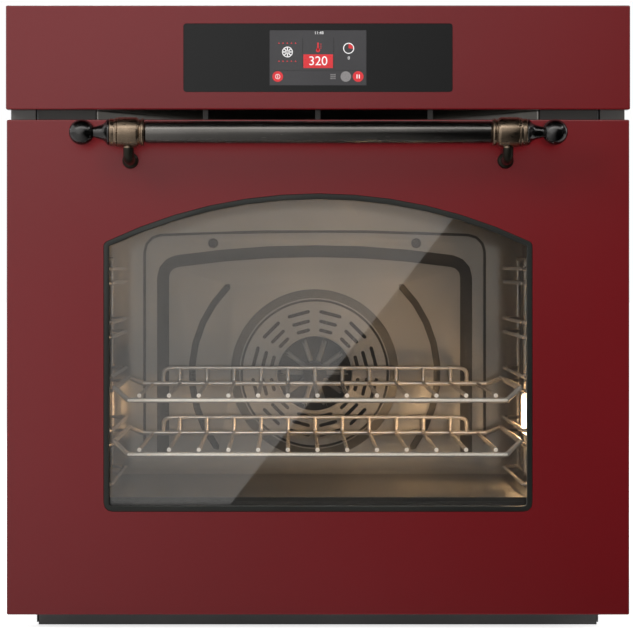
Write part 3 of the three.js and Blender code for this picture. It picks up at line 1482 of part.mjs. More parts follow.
// A collar with ring mouldings, its stem and the round foot on the door
function handleBracket() {
  const start = barHalf + fit;
  const end = barHalf + collarLength;
  const mouldings = collarShares.map(([radius, along]) =>
    [collarRadius * radius, start + (end - start) * along]);
  const collar = turnedAlongX([[0, start], ...mouldings, [0, end]], 16, handleDepth, handleHeight);
  const x = barHalf + stemPlace;
  const foot = handleHeight - stemDrop;
  const stem = rod([[x, handleDepth, handleHeight - barRadius], [x, handleDepth, foot],
    [x, frontFace - rosetteThickness / 2, foot]], stemRadius, stemBend, 8, 3);
  const face = frontFace - rosetteThickness - fit;
  const rosette = turnedAlongY([[0, face], [rosetteRadius * rosetteFaceShare, face],
    [rosetteRadius, frontFace - rosetteThickness / 2], [rosetteRadius, frontFace - fit],
    [0, frontFace - fit]], 12, x, foot);
  const socket = pinAlongX(spigotRadius / 2 + fit, end - spigotLength, end + overrun, handleDepth,
    handleHeight, 8);
  return joined([collar, stem, rosette]).subtract(socket);
}

// A trumpet neck that ends in a ball, with a thin spigot in the collar
function handleFinial() {
  const start = barHalf + collarLength + fit;
  const centre = barHalf + ballPlace;
  const touch = Math.PI - Math.asin(neckRadius / ballRadius);
  const ball = arc(0, 0, ballRadius, touch, 0, 8).map(([along, out]) => [out, centre + along]);
  ball[ball.length - 1][0] = 0;
  const neck = centre - Math.sqrt(ballRadius ** 2 - neckRadius ** 2);
  const flare = flareShares.map(([radius, along]) => [flareRadius * radius, start + (neck - start) * along]);
  const profile = [[0, start - spigotLength / 2], [spigotRadius / 2, start - spigotLength / 2],
    [spigotRadius / 2, start], ...flare, ...ball];
  return turnedAlongX(profile, 12, handleDepth, handleHeight);
}

// Materials

function finish(color, roughness, metalness, extra = {}) {
  return new THREE.MeshStandardMaterial({ color, roughness, metalness, flatShading: true, ...extra });
}

const satinRed = () => finish(0x6e2226, 0.45, 0.1);
const steel = () => finish(0xb8bab8, 0.4, 0.9);
const darkSteel = () => finish(0x4a4c4a, 0.5, 0.7);
const enamel = () => finish(0x3c3a37, 0.35, 0.2);
const brass = () => finish(0x9a8266, 0.35, 0.9);
const gunmetal = () => finish(0x3b3937, 0.35, 0.9);
const glass = () => finish(0xbfc8c4, 0.05, 0, { transparent: true, opacity: 0.35 });
const blackGlass = () => finish(0x26292b, 0.08, 0);
const plastic = () => finish(0x2a2a2a, 0.6, 0);
const board = () => finish(0x2f5a3a, 0.6, 0);
const chrome = () => finish(0xd8d4cc, 0.15, 1);
const rubber = () => finish(0x4a4744, 0.85, 0);
const wool = () => finish(0xc9b98a, 0.95, 0);

// Assembly

const oven = new THREE.Group();

function place(name, solid, material) {
  const mesh = new THREE.Mesh(geometryOf(solid), material);
  mesh.name = name;
  oven.add(mesh);
}

function placePair(name, solid, material) {
  place(`${name}_right`, solid, material());
  place(`${name}_left`, mirrored(solid), material());
}

place('base_plate', basePlate(), steel());
place('bottom_trim', bottomTrim(), darkSteel());
placePair('side_panel', sidePanel(), steel);
place('top_panel', topPanel(), steel());
place('back_panel', backPanel(), steel());
place('front_frame', frontFrame(), darkSteel());
place('panel_bracket', panelBracket(), steel());

place('control_panel', controlPanel(), satinRed());
place('display_glass', displayGlass(), blackGlass());
place('touch_screen', touchScreen(), plastic());
place('display_carrier', displayCarrier(), plastic());
place('control_board', controlBoard(), board());

place('vent_outlet', ventOutlet(), plastic());
place('duct_floor', ductFloor(), steel());
place('duct_cover', ductCover(), steel());
place('blower_housing', blowerHousing(), steel());
place('blower_wheel', blowerWheel(), steel());
place('blower_motor', blowerMotor(), darkSteel());
place('power_board', powerBoard(), board());
place('terminal_box', terminalBox(), plastic());

place('cavity_shell', cavityShell(), enamel());
place('cavity_back', cavityBack(), enamel());
place('door_seal', doorSeal(), rubber());
place('insulation', insulation(), wool());
place('steam_outlet', steamOutlet(), steel());
place('fan_well', fanWell(), enamel());
place('ring_element', ringElement(), darkSteel());
place('fan_cover', fanCover(), enamel());
place('fan_impeller', fanImpeller(), steel());
place('fan_shaft', fanShaft(), steel());
place('fan_nut', fanNut(), brass());
place('fan_motor', fanMotor(), darkSteel());
place('grill_element', grillElement(), darkSteel());
place('bottom_element', bottomElement(), darkSteel());
place('temperature_sensor', temperatureSensor(), steel());
place('lamp_cover', lampCover(), glass());
place('lamp_holder', lampHolder(), steel());
placePair('ladder', ladder(), chrome);
place('shelf_upper', shelf(0), chrome());
place('shelf_lower', shelf(-1), chrome());

place('door_panel', doorPanel(), satinRed());
place('window_trim', windowTrim(), gunmetal());
place('outer_glass', outerGlass(), glass());
place('middle_glass', middleGlass(), glass());
place('inner_glass', innerGlass(), glass());
placePair('pane_holder', paneHolder(), plastic);
place('door_frame', doorFrame(), steel());
place('door_bottom_profile', doorBottomProfile(), steel());
placePair('hinge_arm', hingeArm(), steel);
placePair('hinge_hook', hingeHook(), steel);
place('handle_bar', handleBar(), gunmetal());
placePair('handle_bracket', handleBracket(), brass);
placePair('handle_finial', handleFinial(), gunmetal);

export default oven;
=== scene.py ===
import bpy
from math import pi, sin, cos, radians
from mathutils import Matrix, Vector


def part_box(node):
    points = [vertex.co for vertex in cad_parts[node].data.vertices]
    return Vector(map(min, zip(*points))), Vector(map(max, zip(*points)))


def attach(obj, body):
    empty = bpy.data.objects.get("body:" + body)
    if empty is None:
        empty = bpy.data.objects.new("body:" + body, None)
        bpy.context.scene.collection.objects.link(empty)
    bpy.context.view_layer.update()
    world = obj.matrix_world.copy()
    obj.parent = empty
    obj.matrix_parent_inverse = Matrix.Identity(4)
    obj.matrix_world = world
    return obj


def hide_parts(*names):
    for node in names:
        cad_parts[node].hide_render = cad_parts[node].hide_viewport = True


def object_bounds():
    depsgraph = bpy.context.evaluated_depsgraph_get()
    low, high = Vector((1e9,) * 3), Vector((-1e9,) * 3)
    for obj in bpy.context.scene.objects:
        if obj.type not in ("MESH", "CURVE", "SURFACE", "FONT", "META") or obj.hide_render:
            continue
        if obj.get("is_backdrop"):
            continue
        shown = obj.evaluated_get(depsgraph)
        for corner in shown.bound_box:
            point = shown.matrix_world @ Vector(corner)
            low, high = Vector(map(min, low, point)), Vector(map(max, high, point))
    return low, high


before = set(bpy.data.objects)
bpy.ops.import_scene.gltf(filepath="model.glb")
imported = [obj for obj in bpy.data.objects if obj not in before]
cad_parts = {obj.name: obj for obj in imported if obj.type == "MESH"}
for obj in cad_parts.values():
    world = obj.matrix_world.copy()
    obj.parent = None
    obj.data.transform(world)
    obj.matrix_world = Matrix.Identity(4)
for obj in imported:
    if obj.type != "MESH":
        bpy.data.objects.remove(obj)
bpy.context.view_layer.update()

# Camera. The oven is seen square from the front, a little left of its middle and a little above half
# its height, from about three and a half metres, with a long lens.
bpy.ops.object.select_all(action="DESELECT")
bpy.ops.object.camera_add(location=(-0.0276, -3.792, 0.3466), rotation=(pi / 2, 0, 0))
camera = bpy.context.object
camera.name = "front_camera"
camera.data.lens, camera.data.sensor_width = 208.9, 36
camera.data.shift_x, camera.data.shift_y = 0.0434, -0.0798
bpy.context.scene.camera = camera
bpy.context.scene.view_settings.view_transform = "Standard"


def node(tree, kind, inputs=None, **settings):
    """A shader node with its settings and inputs; an input is a value or another node's output."""
    made = tree.nodes.new("ShaderNode" + kind)
    for key, value in settings.items():
        setattr(made, key, value)
    for key, value in (inputs or {}).items():
        if isinstance(value, bpy.types.NodeSocket):
            tree.links.new(value, made.inputs[key])
        else:
            made.inputs[key].default_value = value
    return made


def seen(tree):
    """1 on rays from the camera, a mirror or a glass, 0 on all others."""
    path = node(tree, "LightPath")
    mirror = node(tree, "Math", {0: path.outputs["Is Camera Ray"], 1: path.outputs["Is Glossy Ray"]},
                  operation="MAXIMUM")
    return node(tree, "Math", {0: mirror.outputs[0], 1: path.outputs["Is Transmission Ray"]},
                operation="MAXIMUM").outputs[0]


# Studio. White surroundings and a pale floor that keeps the oven's shadow, a broad lamp from the upper
# left, a far lamp straight from the front that shines into the cavity, and weak lamps at right and rear.
world = bpy.data.worlds.new("studio")
world.use_nodes = True
bpy.context.scene.world = world
tree = world.node_tree
tree.nodes.clear()
level = node(tree, "MapRange", {"Value": seen(tree), "To Min": 0.42, "To Max": 1.0})
sky = node(tree, "Background", {"Color": (1, 1, 1, 1), "Strength": level.outputs[0]})
node(tree, "OutputWorld", {"Surface": sky.outputs[0]})

bpy.ops.mesh.primitive_plane_add(size=60)
floor = bpy.context.object
floor.name = "studio_floor"
paper = bpy.data.materials.new("studio paper")
paper.use_nodes = True
tree = paper.node_tree
tree.nodes.clear()
matt = node(tree, "BsdfDiffuse", {"Color": (0.8, 0.8, 0.8, 1)})
lift = node(tree, "Math", {0: node(tree, "LightPath").outputs["Is Camera Ray"], 1: 0.75},
            operation="MULTIPLY")
glow = node(tree, "Emission", {"Strength": lift.outputs[0]})
both = node(tree, "AddShader", {0: matt.outputs[0], 1: glow.outputs[0]})
node(tree, "OutputMaterial", {"Surface": both.outputs[0]})
floor.data.materials.append(paper)
floor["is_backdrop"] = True


def lamp(name, kind, place, aim, power, size):
    """A studio lamp at a place, turned to what it lights."""
    bpy.ops.object.light_add(type=kind, location=place)
    made = bpy.context.object
    made.name = name
    made.rotation_mode = "QUATERNION"
    made.rotation_quaternion = (Vector(aim) - Vector(place)).to_track_quat("-Z", "Y")
    made.data.energy = power
    if kind == "SUN":
        made.data.angle = size
    else:
        made.data.shape, made.data.size, made.data.size_y = "RECTANGLE", size[0], size[1]
    return made


lamp("key_lamp", "AREA", (-1.7, -2.3, 1.95), (0, -0.2, 0.3), 42, (1.4, 1.4))
lamp("right_lamp", "AREA", (2.6, -0.6, 1.4), (0, 0, 0.3), 26, (1.2, 1.6))
lamp("rear_lamp", "AREA", (-0.8, 3.0, 1.8), (0, 0.2, 0.3), 34, (1.6, 1.2))
front_lamp = lamp("front_lamp", "SUN", (0, -6, 0.32), (0, 0, 0.318), 1.25, radians(1.2))
front_lamp.visible_glossy = front_lamp.visible_transmission = False


def reflector(name, corners, strength, from_cavity=True, from_front=True):
    """A card that only mirrors see: lit paper, black velvet at strength 0, or paper that brightens from its
    lower right to its upper left. Mirrors in the cavity look out through the panes."""
    mesh = bpy.data.meshes.new(name)
    mesh.from_pydata(corners, [], [tuple(range(len(corners)))])
    card = bpy.data.objects.new(name, mesh)
    bpy.context.collection.objects.link(card)
    cover = bpy.data.materials.new(name)
    cover.use_nodes = True
    tree = cover.node_tree
    tree.nodes.clear()
    aslant = node(tree, "VectorMath", {0: node(tree, "TexCoord").outputs["Object"], 1: (-1, 0, 0.574)},
                  operation="DOT_PRODUCT")
    fade = node(tree, "MapRange", {"Value": aslant.outputs["Value"], "From Min": -0.346, "From Max": 0.554,
                                   "To Min": strength[0], "To Max": strength[1]})
    shine = node(tree, "Emission", {"Strength": fade.outputs[0]})
    node(tree, "OutputMaterial", {"Surface": shine.outputs[0]})
    mesh.materials.append(cover)
    card.visible_camera = card.visible_diffuse = card.visible_shadow = False
    card.visible_transmission, card.visible_glossy = from_cavity, from_front
    card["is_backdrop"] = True


def spanning(side, near, far):
    """Corners of a card as wide to the left as to the right, between two edges given by their y and z."""
    return [(-side, *near), (side, *near), (side, *far), (-side, *far)]


# The panes mirror the slanting edge of a lit card at the left, before black velvet. The lacquer and the
# handle see a wall and a floor that fade to the lower right, a bright strip high up, and black velvet at
# the right and overhead. Only what shines in the cavity sees the bright high card, through the panes.
edge_top, edge_foot = Vector((0.2079, 0, 0.4146)), Vector((-0.1128, 0, 0.0033))
slope = (edge_top - edge_foot) / (edge_top.z - edge_foot.z)
card_side, card_top = 0.5, 0.46
high, low = edge_foot + slope * card_top, edge_foot
room_side, room_front, room_top = 2.4, -2.05, 2.2
reflector("lit_card", [(-card_side, -2.0, 0), (low.x, -2.0, low.z), (high.x, -2.0, high.z),
                       (-card_side, -2.0, high.z)], (0.42, 0.42))
reflector("velvet_wall", spanning(card_side, (-2.03, 0), (-2.03, card_top)), (0.04, 0.04))
reflector("fading_wall", spanning(room_side, (room_front, 0), (room_front, room_top)), (0.0, 0.91),
          from_cavity=False)
reflector("right_velvet", [(room_side, room_front, 0), (room_side, 0.6, 0), (room_side, 0.6, room_top),
                           (room_side, room_front, room_top)], (0, 0), from_cavity=False)
reflector("strip_card", spanning(room_side, (-1.84, 1.50), (-1.70, 2.05)), (2.3, 2.3), from_cavity=False)
reflector("velvet_roof", spanning(room_side, (room_front, room_top), (2.4, room_top)), (0, 0),
          from_cavity=False)
reflector("high_card", spanning(1.5, (room_front, 0.62), (room_front, 1.9)), (4, 4), from_front=False)
reflector("fading_floor", spanning(room_side, (room_front, 0.001), (-0.31, 0.001)), (0.0, 0.55),
          from_cavity=False)


# Control panel. A pan of sheet steel with a satin dark red lacquer, fixed to the bracket above the door;
# its edges are softly rolled and a rectangle is cut out for the display.
def grain_group():
    """Two fields on the object's own coordinates: a slow cloud and a fine grain, each from 0 to 1."""
    group = bpy.data.node_groups.new("cloud and grain", "ShaderNodeTree")
    for name in ("Cloud scale", "Grain scale"):
        group.interface.new_socket(name, in_out="INPUT", socket_type="NodeSocketFloat")
    stretch = group.interface.new_socket("Stretch", in_out="INPUT", socket_type="NodeSocketVector")
    stretch.default_value = (1, 1, 1)
    for name in ("Cloud", "Grain"):
        group.interface.new_socket(name, in_out="OUTPUT", socket_type="NodeSocketFloat")
    given = group.nodes.new("NodeGroupInput")
    place = node(group, "TexCoord")
    drawn = node(group, "VectorMath", {0: place.outputs["Object"], 1: given.outputs["Stretch"]},
                 operation="MULTIPLY")
    cloud = node(group, "TexNoise", {"Vector": place.outputs["Object"], "Scale": given.outputs["Cloud scale"],
                                     "Detail": 3.0})
    fine = node(group, "TexNoise", {"Vector": drawn.outputs[0], "Scale": given.outputs["Grain scale"],
                                    "Detail": 2.0})
    result = group.nodes.new("NodeGroupOutput")
    for name, field in (("Cloud", cloud), ("Grain", fine)):
        wide = node(group, "MapRange", {"Value": field.outputs[0], "From Min": 0.3, "From Max": 0.7})
        group.links.new(wide.outputs[0], result.inputs[name])
    return group


cloud_and_grain = grain_group()


def finish(name, dark, light, gloss, metallic=0.0, cloud=7.0, grain=900.0, relief=0.0, stretch=(1, 1, 1),
           **shader):
    """A finish that clouds between two tones, with its gloss between two roughnesses by a fine grain."""
    made = bpy.data.materials.new(name)
    made.use_nodes = True
    tree = made.node_tree
    shade = tree.nodes["Principled BSDF"]
    field = node(tree, "Group", node_tree=cloud_and_grain)
    for key, value in (("Cloud scale", cloud), ("Grain scale", grain), ("Stretch", stretch)):
        field.inputs[key].default_value = value
    tone = node(tree, "Mix", {0: field.outputs["Cloud"], 6: (*dark, 1), 7: (*light, 1)}, data_type="RGBA")
    rough = node(tree, "MapRange", {"Value": field.outputs["Grain"], "To Min": gloss[0], "To Max": gloss[1]})
    tree.links.new(tone.outputs[2], shade.inputs["Base Color"])
    tree.links.new(rough.outputs[0], shade.inputs["Roughness"])
    shade.inputs["Metallic"].default_value = metallic
    if relief:
        bump = node(tree, "Bump", {"Height": field.outputs["Grain"], "Strength": 1.0, "Distance": relief})
        tree.links.new(bump.outputs[0], shade.inputs["Normal"])
    for key, value in shader.items():
        shade.inputs[key.replace("_", " ")].default_value = value
    return made


def clothe(material, *names):
    """Gives carried-over solids their finish."""
    for name in names:
        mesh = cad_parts[name].data
        mesh.materials.clear()
        mesh.materials.append(material)


def softened(name, width, segments, material, body, angle=30, as_name=None):
    """A solid with its sharp edges rolled: merged, its flat faces made whole, then bevelled."""
    bpy.ops.object.select_all(action="DESELECT")
    piece = bpy.data.objects.new(as_name or name + "_formed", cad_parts[name].data.copy())
    bpy.context.collection.objects.link(piece)
    bpy.context.view_layer.objects.active = piece
    piece.select_set(True)
    bpy.ops.object.mode_set(mode="EDIT")
    bpy.ops.mesh.select_all(action="SELECT")
    bpy.ops.mesh.remove_doubles(threshold=1e-5)
    bpy.ops.mesh.dissolve_limited(angle_limit=radians(1))
    bpy.ops.object.mode_set(mode="OBJECT")
    bevel = piece.modifiers.new("rolled edges", "BEVEL")
    bevel.width, bevel.segments = width, segments
    bevel.limit_method, bevel.angle_limit = "ANGLE", radians(angle)
    bpy.ops.object.modifier_apply(modifier=bevel.name)
    bpy.ops.object.shade_smooth_by_angle(angle=radians(28))
    piece.data.materials.clear()
    piece.data.materials.append(material)
    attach(piece, body)
    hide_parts(name)
    return piece


red = finish("satin red lacquer", (0.113, 0.0010, 0.0028), (0.123, 0.0014, 0.0040), (0.20, 0.26), cloud=3.0,
             grain=1400.0, relief=0.00002, Specular_IOR_Level=0.7)
clothe(red, "control_panel", "door_panel")

# Display. Black glass in the panel's cut-out, with the colour touch screen lit behind its window. The
# signs on the screen are thin films, one for each of their four tones.
black_glass = finish("black display glass", (0.002, 0.002, 0.002), (0.003, 0.003, 0.003), (0.05, 0.09),
                     cloud=2.0, Specular_IOR_Level=0.4)
screen_back = finish("screen back light", (0.030, 0.029, 0.031), (0.036, 0.035, 0.037), (0.12, 0.16),
                     cloud=20.0, Emission_Color=(0.5, 0.48, 0.50, 1), Emission_Strength=0.02)
clothe(black_glass, "display_glass")
clothe(screen_back, "touch_screen")

# The signs lie on the screen's front face. Their places and sizes are millimetres from its middle.
screen_front, screen_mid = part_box("touch_screen")[0].y - 0.00004, 0.5441


def lit(name, colour, strength):
    """A printed sign lit from behind, with the faint unevenness of its film."""
    made = finish(name, tuple(c * 0.9 for c in colour), colour, (0.25, 0.35), cloud=60.0)
    shade = made.node_tree.nodes["Principled BSDF"]
    shade.inputs["Emission Color"].default_value = (*colour, 1)
    shade.inputs["Emission Strength"].default_value = strength
    return made


def sign_disc(x, z, radius, steps=40):
    bpy.ops.mesh.primitive_circle_add(vertices=steps, radius=radius / 1000, fill_type="NGON",
                                      rotation=(pi / 2, 0, 0),
                                      location=(x / 1000, screen_front, screen_mid + z / 1000))


def sign_bar(x, z, width, height, turn=0.0):
    bpy.ops.mesh.primitive_plane_add(size=1, rotation=(pi / 2, 0, 0),
                                     location=(x / 1000, screen_front, screen_mid + z / 1000))
    bpy.ops.transform.resize(value=(width / 1000, 1, height / 1000))
    if turn:
        bpy.context.object.rotation_euler[1] = turn


def sign_ring(x, z, radius, width, start=0, end=360):
    """A ring or a sector, drawn as a flat strip round its centre."""
    inner = max(radius - width, 0.01) / 1000
    steps = max(6, round((end - start) / 8))
    angles = [radians(90 - start - (end - start) * i / steps) for i in range(steps + 1)]
    points = [(x / 1000 + r * cos(a), screen_front, screen_mid + (z / 1000 + r * sin(a)))
              for r in (radius / 1000, inner) for a in angles]
    faces = [(i, i + 1, i + steps + 2, i + steps + 1) for i in range(steps)]
    mesh = bpy.data.meshes.new("ring")
    mesh.from_pydata(points, [], faces)
    made = bpy.data.objects.new("ring", mesh)
    bpy.context.collection.objects.link(made)
    bpy.context.view_layer.objects.active = made
    made.select_set(True)


def sign_text(words, x, z, size):
    bpy.ops.object.text_add(rotation=(pi / 2, 0, 0), location=(x / 1000, screen_front, screen_mid + z / 1000))
    letters = bpy.context.object
    letters.data.body, letters.data.size = words, size / 1000
    letters.data.align_x = letters.data.align_y = "CENTER"
    bpy.ops.object.convert(target="MESH")


def sign(name, material, lift, parts):
    """Draws the parts of one colour, joins them and lays them on the screen, each colour a hair prouder."""
    drawn = []
    for draw, *size in parts:
        bpy.ops.object.select_all(action="DESELECT")
        draw(*size)
        drawn.append(bpy.context.view_layer.objects.active)
    for part in drawn:
        part.select_set(True)
    bpy.context.view_layer.objects.active = drawn[0]
    if len(drawn) > 1:
        bpy.ops.object.join()
    bpy.ops.object.transform_apply(location=True, rotation=True, scale=True)
    piece = bpy.context.object
    piece.name = name
    thick = piece.modifiers.new("film", "SOLIDIFY")
    thick.thickness, thick.offset = 0.00002, 0
    bpy.ops.object.modifier_apply(modifier=thick.name)
    for vertex in piece.data.vertices:
        vertex.co.y -= lift
    piece.data.materials.clear()
    piece.data.materials.append(material)
    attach(piece, "chassis")
    return piece


fan_leaves = [(sign_bar, -29.1, 5.5, 9.4, 1.0, radians(45 * i)) for i in range(4)]
arrows = [(sign_ring, -37.2 + 3.95 * i, z, 1.5, 1.5, 150, 210) for i in range(5) for z in (14.8, -2.4)]
sign("screen_white_signs", lit("white screen signs", (0.80, 0.79, 0.79), 0.16), 0.00012, [
    (sign_text, "11:48", 0.9, 23.6, 4.0), *fan_leaves, (sign_ring, -29.1, 5.5, 5.1, 0.8),
    (sign_disc, -29.1, 5.5, 1.4), (sign_text, "320", 0.1, -3.4, 12.2), (sign_ring, 29.2, 9.0, 5.2, 0.8),
    (sign_text, "0", 29.4, -0.4, 4.2),
    (sign_ring, -38.4, -17.9, 2.4, 0.5), (sign_bar, -38.4, -17.9, 0.6, 2.4),
    (sign_bar, 37.2, -17.9, 0.9, 3.8), (sign_bar, 39.4, -17.9, 0.9, 3.8)])
sign("screen_red_signs", lit("red screen signs", (0.50, 0.024, 0.030), 0.32), 0.00006, [
    (sign_bar, 0.15, -3.3, 28.2, 13.0), (sign_disc, -38.4, -17.9, 5.1), (sign_disc, 38.3, -17.9, 5.1),
    (sign_ring, 29.2, 9.0, 4.2, 4.2, 0, 95), (sign_bar, 0.0, 10.6, 1.5, 7.5), (sign_disc, 0.0, 7.2, 1.9, 20),
    *[(sign_bar, 2.6, 9.2 + 1.9 * i, 1.6, 0.5) for i in range(3)], *arrows])
sign("screen_grey_signs", lit("grey screen signs", (0.20, 0.19, 0.19), 0.16), 0.00006, [
    (sign_disc, 26.5, -17.9, 5.0), *[(sign_bar, 12.5 + 1.8 * i, -19.7 + 1.8 * k, 1.2, 1.2) for i in range(3)
                                    for k in range(3)]])
sign("screen_dark_lines", lit("dark screen lines", (0.02, 0.02, 0.02), 0.0), 0.00003, [
    (sign_bar, -14.6, 4.4, 0.5, 29.0), (sign_bar, 15.0, 4.4, 0.5, 29.0), (sign_bar, 0, -12.2, 86.0, 0.4)])

# Vent outlet, front frame and mounting flanges. Galvanised sheet with a dark coat, screwed to the
# casing; the warm air leaves through the four cells between door and panel.
zinc = finish("galvanised sheet", (0.33, 0.34, 0.345), (0.40, 0.41, 0.41), (0.33, 0.44), 0.85, cloud=95.0,
              grain=240.0, relief=0.00001)
dark_coat = finish("dark coated sheet", (0.060, 0.058, 0.055), (0.075, 0.072, 0.068), (0.42, 0.54), 0.3,
                   cloud=12.0, relief=0.00001)
clothe(dark_coat, "vent_outlet")
clothe(finish("grey coated strip", (0.092, 0.092, 0.091), (0.115, 0.114, 0.113), (0.40, 0.52), 0.1, cloud=8.0,
              relief=0.00001), "bottom_trim")
clothe(finish("primed duct sheet", (0.42, 0.40, 0.37), (0.52, 0.50, 0.46), (0.5, 0.65), cloud=20.0),
       "duct_floor", "duct_cover")
frame_coat = finish("grey coated frame", (0.105, 0.102, 0.098), (0.130, 0.126, 0.120), (0.40, 0.52), 0.35,
                    cloud=10.0, relief=0.00001)
clothe(frame_coat, "front_frame")

# The frame's foot and the sill under the window are drawn near black below a height; the grey coat starts
# above them.
tree = frame_coat.node_tree
shade = tree.nodes["Principled BSDF"]
coat = shade.inputs["Base Color"].links[0].from_socket
height = node(tree, "SeparateXYZ", {0: node(tree, "TexCoord").outputs["Object"]})
black_to, grey_from = 0.15, 0.19
above = node(tree, "MapRange", {"Value": height.outputs["Z"], "From Min": black_to, "From Max": grey_from})
both = node(tree, "Mix", {0: above.outputs[0], 6: (0.019, 0.020, 0.019, 1), 7: coat}, data_type="RGBA")
tree.links.new(both.outputs[2], shade.inputs["Base Color"])

# Window rim. A dark bronzed profile with rolled front edges. It frames the arched cut in the door's
# panel.
rim = finish("dark window rim", (0.018, 0.019, 0.017), (0.028, 0.029, 0.026), (0.30, 0.40), 0.5, cloud=9.0,
             relief=0.00001)
softened("window_trim", 0.0011, 4, rim, "door")

# Door panes. Three clear panes with a faint smear, hardly tinted; the lamps' light reaches the cavity
# through them with little loss.
def pane(name, tint, gloss):
    """Clear glass that lets lamp light through almost undimmed."""
    made = bpy.data.materials.new(name)
    made.use_nodes = True
    tree = made.node_tree
    shade = tree.nodes["Principled BSDF"]
    field = node(tree, "Group", node_tree=cloud_and_grain)
    field.inputs["Cloud scale"].default_value, field.inputs["Grain scale"].default_value = 3.0, 300.0
    smear = node(tree, "MapRange", {"Value": field.outputs["Cloud"], "To Min": gloss[0], "To Max": gloss[1]})
    tree.links.new(smear.outputs[0], shade.inputs["Roughness"])
    for key, value in (("Base Color", (*tint, 1)), ("Transmission Weight", 1.0), ("IOR", 1.5)):
        shade.inputs[key].default_value = value
    clear = node(tree, "BsdfTransparent", {"Color": (0.945, 0.94, 0.93, 1)})
    path = node(tree, "LightPath")
    either = node(tree, "MixShader", {0: path.outputs["Is Shadow Ray"], 1: shade.outputs[0],
                                      2: clear.outputs[0]})
    tree.links.new(either.outputs[0], tree.nodes["Material Output"].inputs["Surface"])
    return made


clothe(pane("outer pane glass", (0.95, 0.945, 0.935), (0.0, 0.012)), "outer_glass")
clothe(pane("middle pane glass", (0.965, 0.96, 0.95), (0.0, 0.010)), "middle_glass")
clothe(pane("inner pane glass", (0.965, 0.96, 0.95), (0.0, 0.010)), "inner_glass")

# Handle. A gunmetal tube between two antique brass collars with ring mouldings, each on a curved stem
# and a round foot, and a trumpet-necked ball at each end.
gunmetal = finish("dark gunmetal", (0.135, 0.127, 0.118), (0.175, 0.165, 0.153), (0.22, 0.28), 1.0,
                  cloud=14.0, grain=500.0, stretch=(0.06, 1, 1))
dark_metal = finish("dark finial metal", (0.080, 0.078, 0.076), (0.105, 0.102, 0.099), (0.20, 0.26), 1.0,
                    cloud=14.0, grain=500.0)
brass = finish("antique brass", (0.20, 0.150, 0.105), (0.36, 0.27, 0.19), (0.22, 0.38), 1.0, cloud=60.0,
               grain=420.0, stretch=(0.2, 1, 1), relief=0.00002)
dark_bronze = finish("dark bronze", (0.016, 0.014, 0.010), (0.034, 0.030, 0.022), (0.30, 0.42), 0.8,
                     cloud=60.0, grain=420.0)
handle_y = -0.337
handle_axis = Vector((0, handle_y, 0.4716))


def turned(name, profile, axis, centre, steps=48):
    """A turned piece. Its profile lists place along the axis and radius; it is drawn once and spun."""
    bpy.ops.object.select_all(action="DESELECT")
    along = {"X": Vector((1, 0, 0)), "Y": Vector((0, 1, 0)), "Z": Vector((0, 0, 1))}[axis]
    across = Vector((0, 0, 1)) if axis != "Z" else Vector((1, 0, 0))
    points = [Vector(centre) + along * (place / 1000) + across * (radius / 1000) for place, radius in profile]
    bpy.ops.mesh.primitive_plane_add(size=0.001, location=(0, 0, 0))
    bpy.ops.object.mode_set(mode="EDIT")
    bpy.ops.mesh.merge(type="CENTER")
    bpy.ops.transform.translate(value=points[0])
    for start, end in zip(points, points[1:]):
        bpy.ops.mesh.extrude_region_move(TRANSFORM_OT_translate={"value": end - start})
    bpy.ops.mesh.select_all(action="SELECT")
    bpy.ops.mesh.spin(steps=steps, angle=2 * pi, center=centre, axis=along)
    bpy.ops.mesh.select_all(action="SELECT")
    bpy.ops.mesh.remove_doubles(threshold=2e-6)
    bpy.ops.mesh.normals_make_consistent(inside=False)
    bpy.ops.object.mode_set(mode="OBJECT")
    bpy.ops.object.shade_smooth_by_angle(angle=radians(32))
    bpy.context.object.name = name
    return bpy.context.object


def settle(piece, material, body, *nodes):
    """A finished piece gets its finish, its body and the solids that it stands for."""
    piece.data.materials.clear()
    piece.data.materials.append(material)
    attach(piece, body)
    if nodes:
        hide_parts(*nodes)
    return piece


def joined(name, parts):
    bpy.ops.object.select_all(action="DESELECT")
    for part in parts:
        part.select_set(True)
    bpy.context.view_layer.objects.active = parts[0]
    bpy.ops.object.join()
    parts[0].name = name
    return parts[0]


bar = turned("handle_tube", [(-163.4, 0), (-163.4, 9.5), (-162.6, 10.3), (-161.6, 10.6), (161.6, 10.6),
                             (162.6, 10.3), (163.4, 9.5), (163.4, 0)], "X", handle_axis, 56)
settle(bar, gunmetal, "door", "handle_bar")


def rounded(points, bend, steps=6):
    """A route whose inner corners are bent round."""
    route = [Vector(points[0])]
    for before, corner, after in zip(points, points[1:], points[2:]):
        corner = Vector(corner)
        back, on = Vector(before) - corner, Vector(after) - corner
        start = corner + back.normalized() * min(bend, back.length * 0.45)
        end = corner + on.normalized() * min(bend, on.length * 0.45)
        for i in range(steps + 1):
            share = i / steps
            route.append(start.lerp(corner, share).lerp(corner.lerp(end, share), share))
    return route + [Vector(points[-1])]


def rods(name, routes, radius, bend=0.006, sides=4):
    """Round rods along their routes, closed at their ends, in one mesh."""
    bpy.ops.object.select_all(action="DESELECT")
    curve = bpy.data.curves.new(name, "CURVE")
    curve.dimensions = "3D"
    curve.bevel_depth, curve.bevel_resolution, curve.use_fill_caps = radius, sides, True
    for points in routes:
        route = rounded(points, bend)
        spline = curve.splines.new("POLY")
        spline.points.add(len(route) - 1)
        for point, place in zip(spline.points, route):
            point.co = (*place, 1)
    made = bpy.data.objects.new(name, curve)
    bpy.context.collection.objects.link(made)
    bpy.context.view_layer.objects.active = made
    made.select_set(True)
    bpy.ops.object.convert(target="MESH")
    bpy.ops.object.shade_smooth_by_angle(angle=radians(50))
    return bpy.context.object


